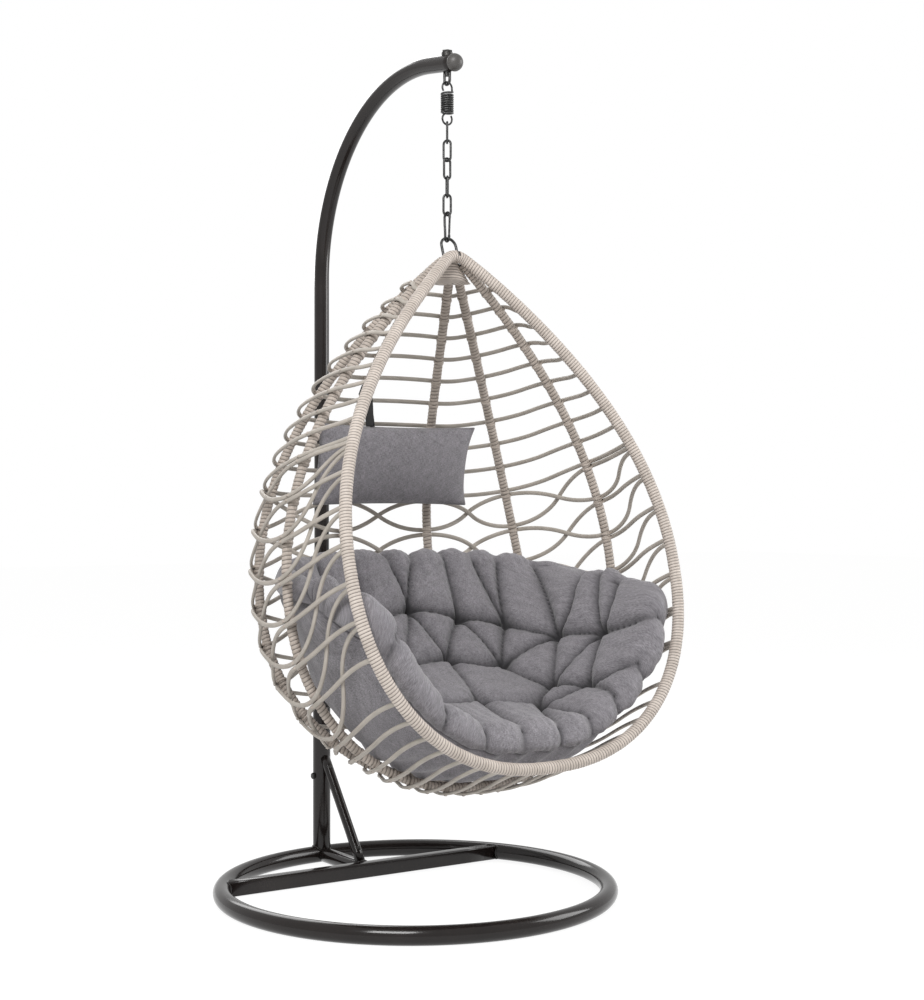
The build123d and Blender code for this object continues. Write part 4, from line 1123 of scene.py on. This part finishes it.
# Hanger
HOOK_TOP_Z = 1.892168
SPRING_HOOK = 0.013
COIL_RISE = 0.013
SPRING_WIRE = 0.0045
SPRING_OUTER = 0.0306
COIL_PITCH = 0.0051
COIL_TURNS = 9
COIL_TOP_Z = HOOK_TOP_Z - SPRING_HOOK - COIL_RISE
COIL_FOOT_Z = COIL_TOP_Z - COIL_TURNS * COIL_PITCH
LINK_TURNS = (56, -59, 4, 66, -12)
LINK_TOP_Z = 1.799768
LINK_PITCH = 0.0415
LINK_LONG = 0.0475
LINK_BOW = 0.009
LINK_WIRE = 0.0055
EYE_FOOT_Z = 1.886168
EYE_BOW = 0.01075
EYE_WIRE = 0.0065


def spring_line():
    """The coil and its two hooks as points, from the lower hook up."""
    radius = (SPRING_OUTER - SPRING_WIRE) / 2
    a = np.linspace(-math.pi / 2, COIL_TURNS * 2 * math.pi - math.pi / 2, COIL_TURNS * 28 + 1)
    z = COIL_FOOT_Z + (a + math.pi / 2) / (2 * math.pi) * COIL_PITCH
    coil = np.stack([radius * np.cos(a), CHAIN_Y + radius * np.sin(a), z], -1)
    b = np.linspace(0, math.pi + 0.7, 26)
    bow = SPRING_HOOK * np.stack([np.cos(b), 0 * b, np.sin(b)], -1)
    head = np.array([0, CHAIN_Y, COIL_TOP_Z + COIL_RISE]) + bow
    tail = np.array([0, CHAIN_Y, COIL_FOOT_Z - COIL_RISE]) - bow
    rise_in = smooth_points([coil[-1], head[0]], [unit(coil[-1] - coil[-2]), UP], 8)
    rise_out = smooth_points([tail[0], coil[0]], [UP, unit(coil[1] - coil[0])], 8)
    return np.concatenate([tail[::-1], rise_out[1:-1], coil, rise_in[1:], head[1:]])


def link_line(index):
    turn = math.radians(LINK_TURNS[index])
    a = np.linspace(0, math.pi, 17)
    upper = np.stack([LINK_BOW * np.cos(a), LINK_LONG / 2 - LINK_BOW + LINK_BOW * np.sin(a)], -1)
    x, z = np.concatenate([upper, -upper]).T
    middle = LINK_TOP_Z - index * LINK_PITCH - LINK_LONG / 2
    return np.stack([x * math.cos(turn), CHAIN_Y + x * math.sin(turn), middle + z], -1)


def closed_wire(shape, points, radius, around=16):
    ways = unit(np.roll(points, -1, 0) - np.roll(points, 1, 0))
    flat = unit(np.cross(points[0] - points.mean(0), points[len(points) // 4] - points.mean(0)))
    swept(shape, points, oval(2 * radius, 2 * radius, around), alike(flat, len(points)), ways, closed=True)


def make_hanger():
    spring = Shape()
    round_bar(spring, resample(spring_line(), 0.0016), SPRING_WIRE / 2, (0.2, 0.9, 0.1), 14)
    stretch = ("spring", "link_1", (0, CHAIN_Y, COIL_TOP_Z), (0, CHAIN_Y, COIL_FOOT_Z))
    spring.piece("coil_spring", STEEL, stretch, "steel_hardware", ["suspension_spring"])
    for i in range(len(LINK_TURNS)):
        link = Shape()
        closed_wire(link, link_line(i), LINK_WIRE / 2)
        link.piece(f"oval_link_{i + 1}", STEEL, f"link_{i + 1}", "steel_hardware", [f"chain_link_{i + 1}"])
    eye = Shape()
    a = np.linspace(0, math.pi, 25)
    bow = np.stack([0 * a, CHAIN_Y - EYE_BOW * np.cos(a), EYE_FOOT_Z + EYE_BOW * (1 - np.sin(a))], -1)
    leg = UP * 0.0225
    wire = np.concatenate([[bow[0] + leg, bow[0] + leg / 2], bow, [bow[-1] + leg / 2, bow[-1] + leg]])
    round_bar(eye, wire, EYE_WIRE / 2, (1, 0, 0), 20)
    eye_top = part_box("eye_bolt")[1][2]
    lipped_tube(eye, (0, CHAIN_Y, 1.905), (0, CHAIN_Y, eye_top), 0.005, 0.0008, 28)
    eye.piece("eye_bolt_forged", STEEL, "stand", "steel_hardware", ["eye_bolt"])


def dress_nodes():
    """Finishes for the solids that are shown as they are."""
    finishes = {"frame_steel": CORE_STEEL, "steel_hardware": STEEL, "stand_paint": PAINT}
    slots = {row["node"]: row["material_slot"] for row in frame["record"]["subparts"]}
    for name, node in frame["nodes"].items():
        if node.hide_render:
            continue
        finish = finishes.get(slots[name], STEEL)
        if name.startswith(("brace_bolt", "lock_", "eye_")):
            finish = BOLT_STEEL
        node.data.materials.clear()
        node.data.materials.append(finish.material)


# Stage
FLOOR_WHITE = 0.80      # share of plain white in the floor, which keeps the shadow in the rest
MIRRORED_WHITE = 0.55   # share of the white surroundings that gloss shows
ROOM_LIGHT = 0.48
SOFTBOXES = (("key_softbox", (-2.6, -2.4, 3.6), (0, -0.2, 0.9), 1.8, 150),   # place, target, size and power
             ("side_softbox", (3.2, -1.6, 2.2), (0, -0.2, 0.9), 2.0, 70),
             ("back_softbox", (0.6, 3.4, 3.0), (0, 0, 1.0), 2.4, 60))


def seen_rays(finish):
    rays = ("Camera", "Transmission", "Glossy")
    return [finish.node("ShaderNodeLightPath", out=f"Is {ray} Ray") for ray in rays]


def larger(first, second):
    return first.maths("MAXIMUM", first, second)


def make_stage():
    bpy.ops.mesh.primitive_plane_add(size=40, location=(0, 0, -0.0002))
    floor = bpy.context.object
    floor.name = "studio_floor"
    f = Finish("studio_floor_white")
    seen, through, mirrored = seen_rays(f)
    white = f.node("ShaderNodeEmission", {}, {"Color": rgb(1, 1, 1), "Strength": 1.14})
    paper = f.node("ShaderNodeBsdfDiffuse", {}, {"Color": rgb(0.84, 0.84, 0.84)})
    share = larger(seen, larger(mirrored, through)) * FLOOR_WHITE
    f.node_out(f.node("ShaderNodeMixShader", {}, {0: share, 1: paper, 2: white}))
    floor.data.materials.append(f.material)
    world = bpy.data.worlds.new("studio_world")
    bpy.context.scene.world = world
    world.use_nodes = True
    w = Finish("studio_world", world.node_tree)
    seen, through, mirrored = seen_rays(w)
    white = w.node("ShaderNodeBackground", {}, {"Color": rgb(1, 1, 1), "Strength": 1.0})
    soft = w.node("ShaderNodeBackground", {}, {"Color": rgb(1, 0.995, 0.985), "Strength": ROOM_LIGHT})
    shown = larger(larger(seen, through), mirrored * MIRRORED_WHITE)
    w.node_out(w.node("ShaderNodeMixShader", {}, {0: shown, 1: soft, 2: white}), "ShaderNodeOutputWorld")
    for name, place, target, size, power in SOFTBOXES:
        lamp = bpy.data.lights.new(name, "AREA")
        lamp.size = size
        lamp.energy = power
        held = bpy.data.objects.new(name, lamp)
        bpy.context.scene.collection.objects.link(held)
        held.location = place
        look = np.array(target) - np.array(place)
        tilt = math.atan2(math.hypot(look[0], look[1]), -look[2])
        held.rotation_euler = (tilt, 0, math.atan2(-look[0], look[1]))
    camera = bpy.data.cameras.new("photo_camera")
    camera.lens = 61.06
    camera.sensor_width = 36
    camera.shift_y = 0.0014
    held = bpy.data.objects.new("photo_camera", camera)
    bpy.context.scene.collection.objects.link(held)
    held.location = (-2.149, -3.380, 0.9295)
    held.rotation_euler = (math.radians(90), 0, math.radians(-34))
    bpy.context.scene.camera = held
    bpy.context.scene.view_settings.view_transform = "Standard"


make_stage()
make_frame()
make_knot()
make_weave()
make_cushion()
make_pillow()
make_strap()
make_base()
make_arm()
make_hanger()
dress_nodes()
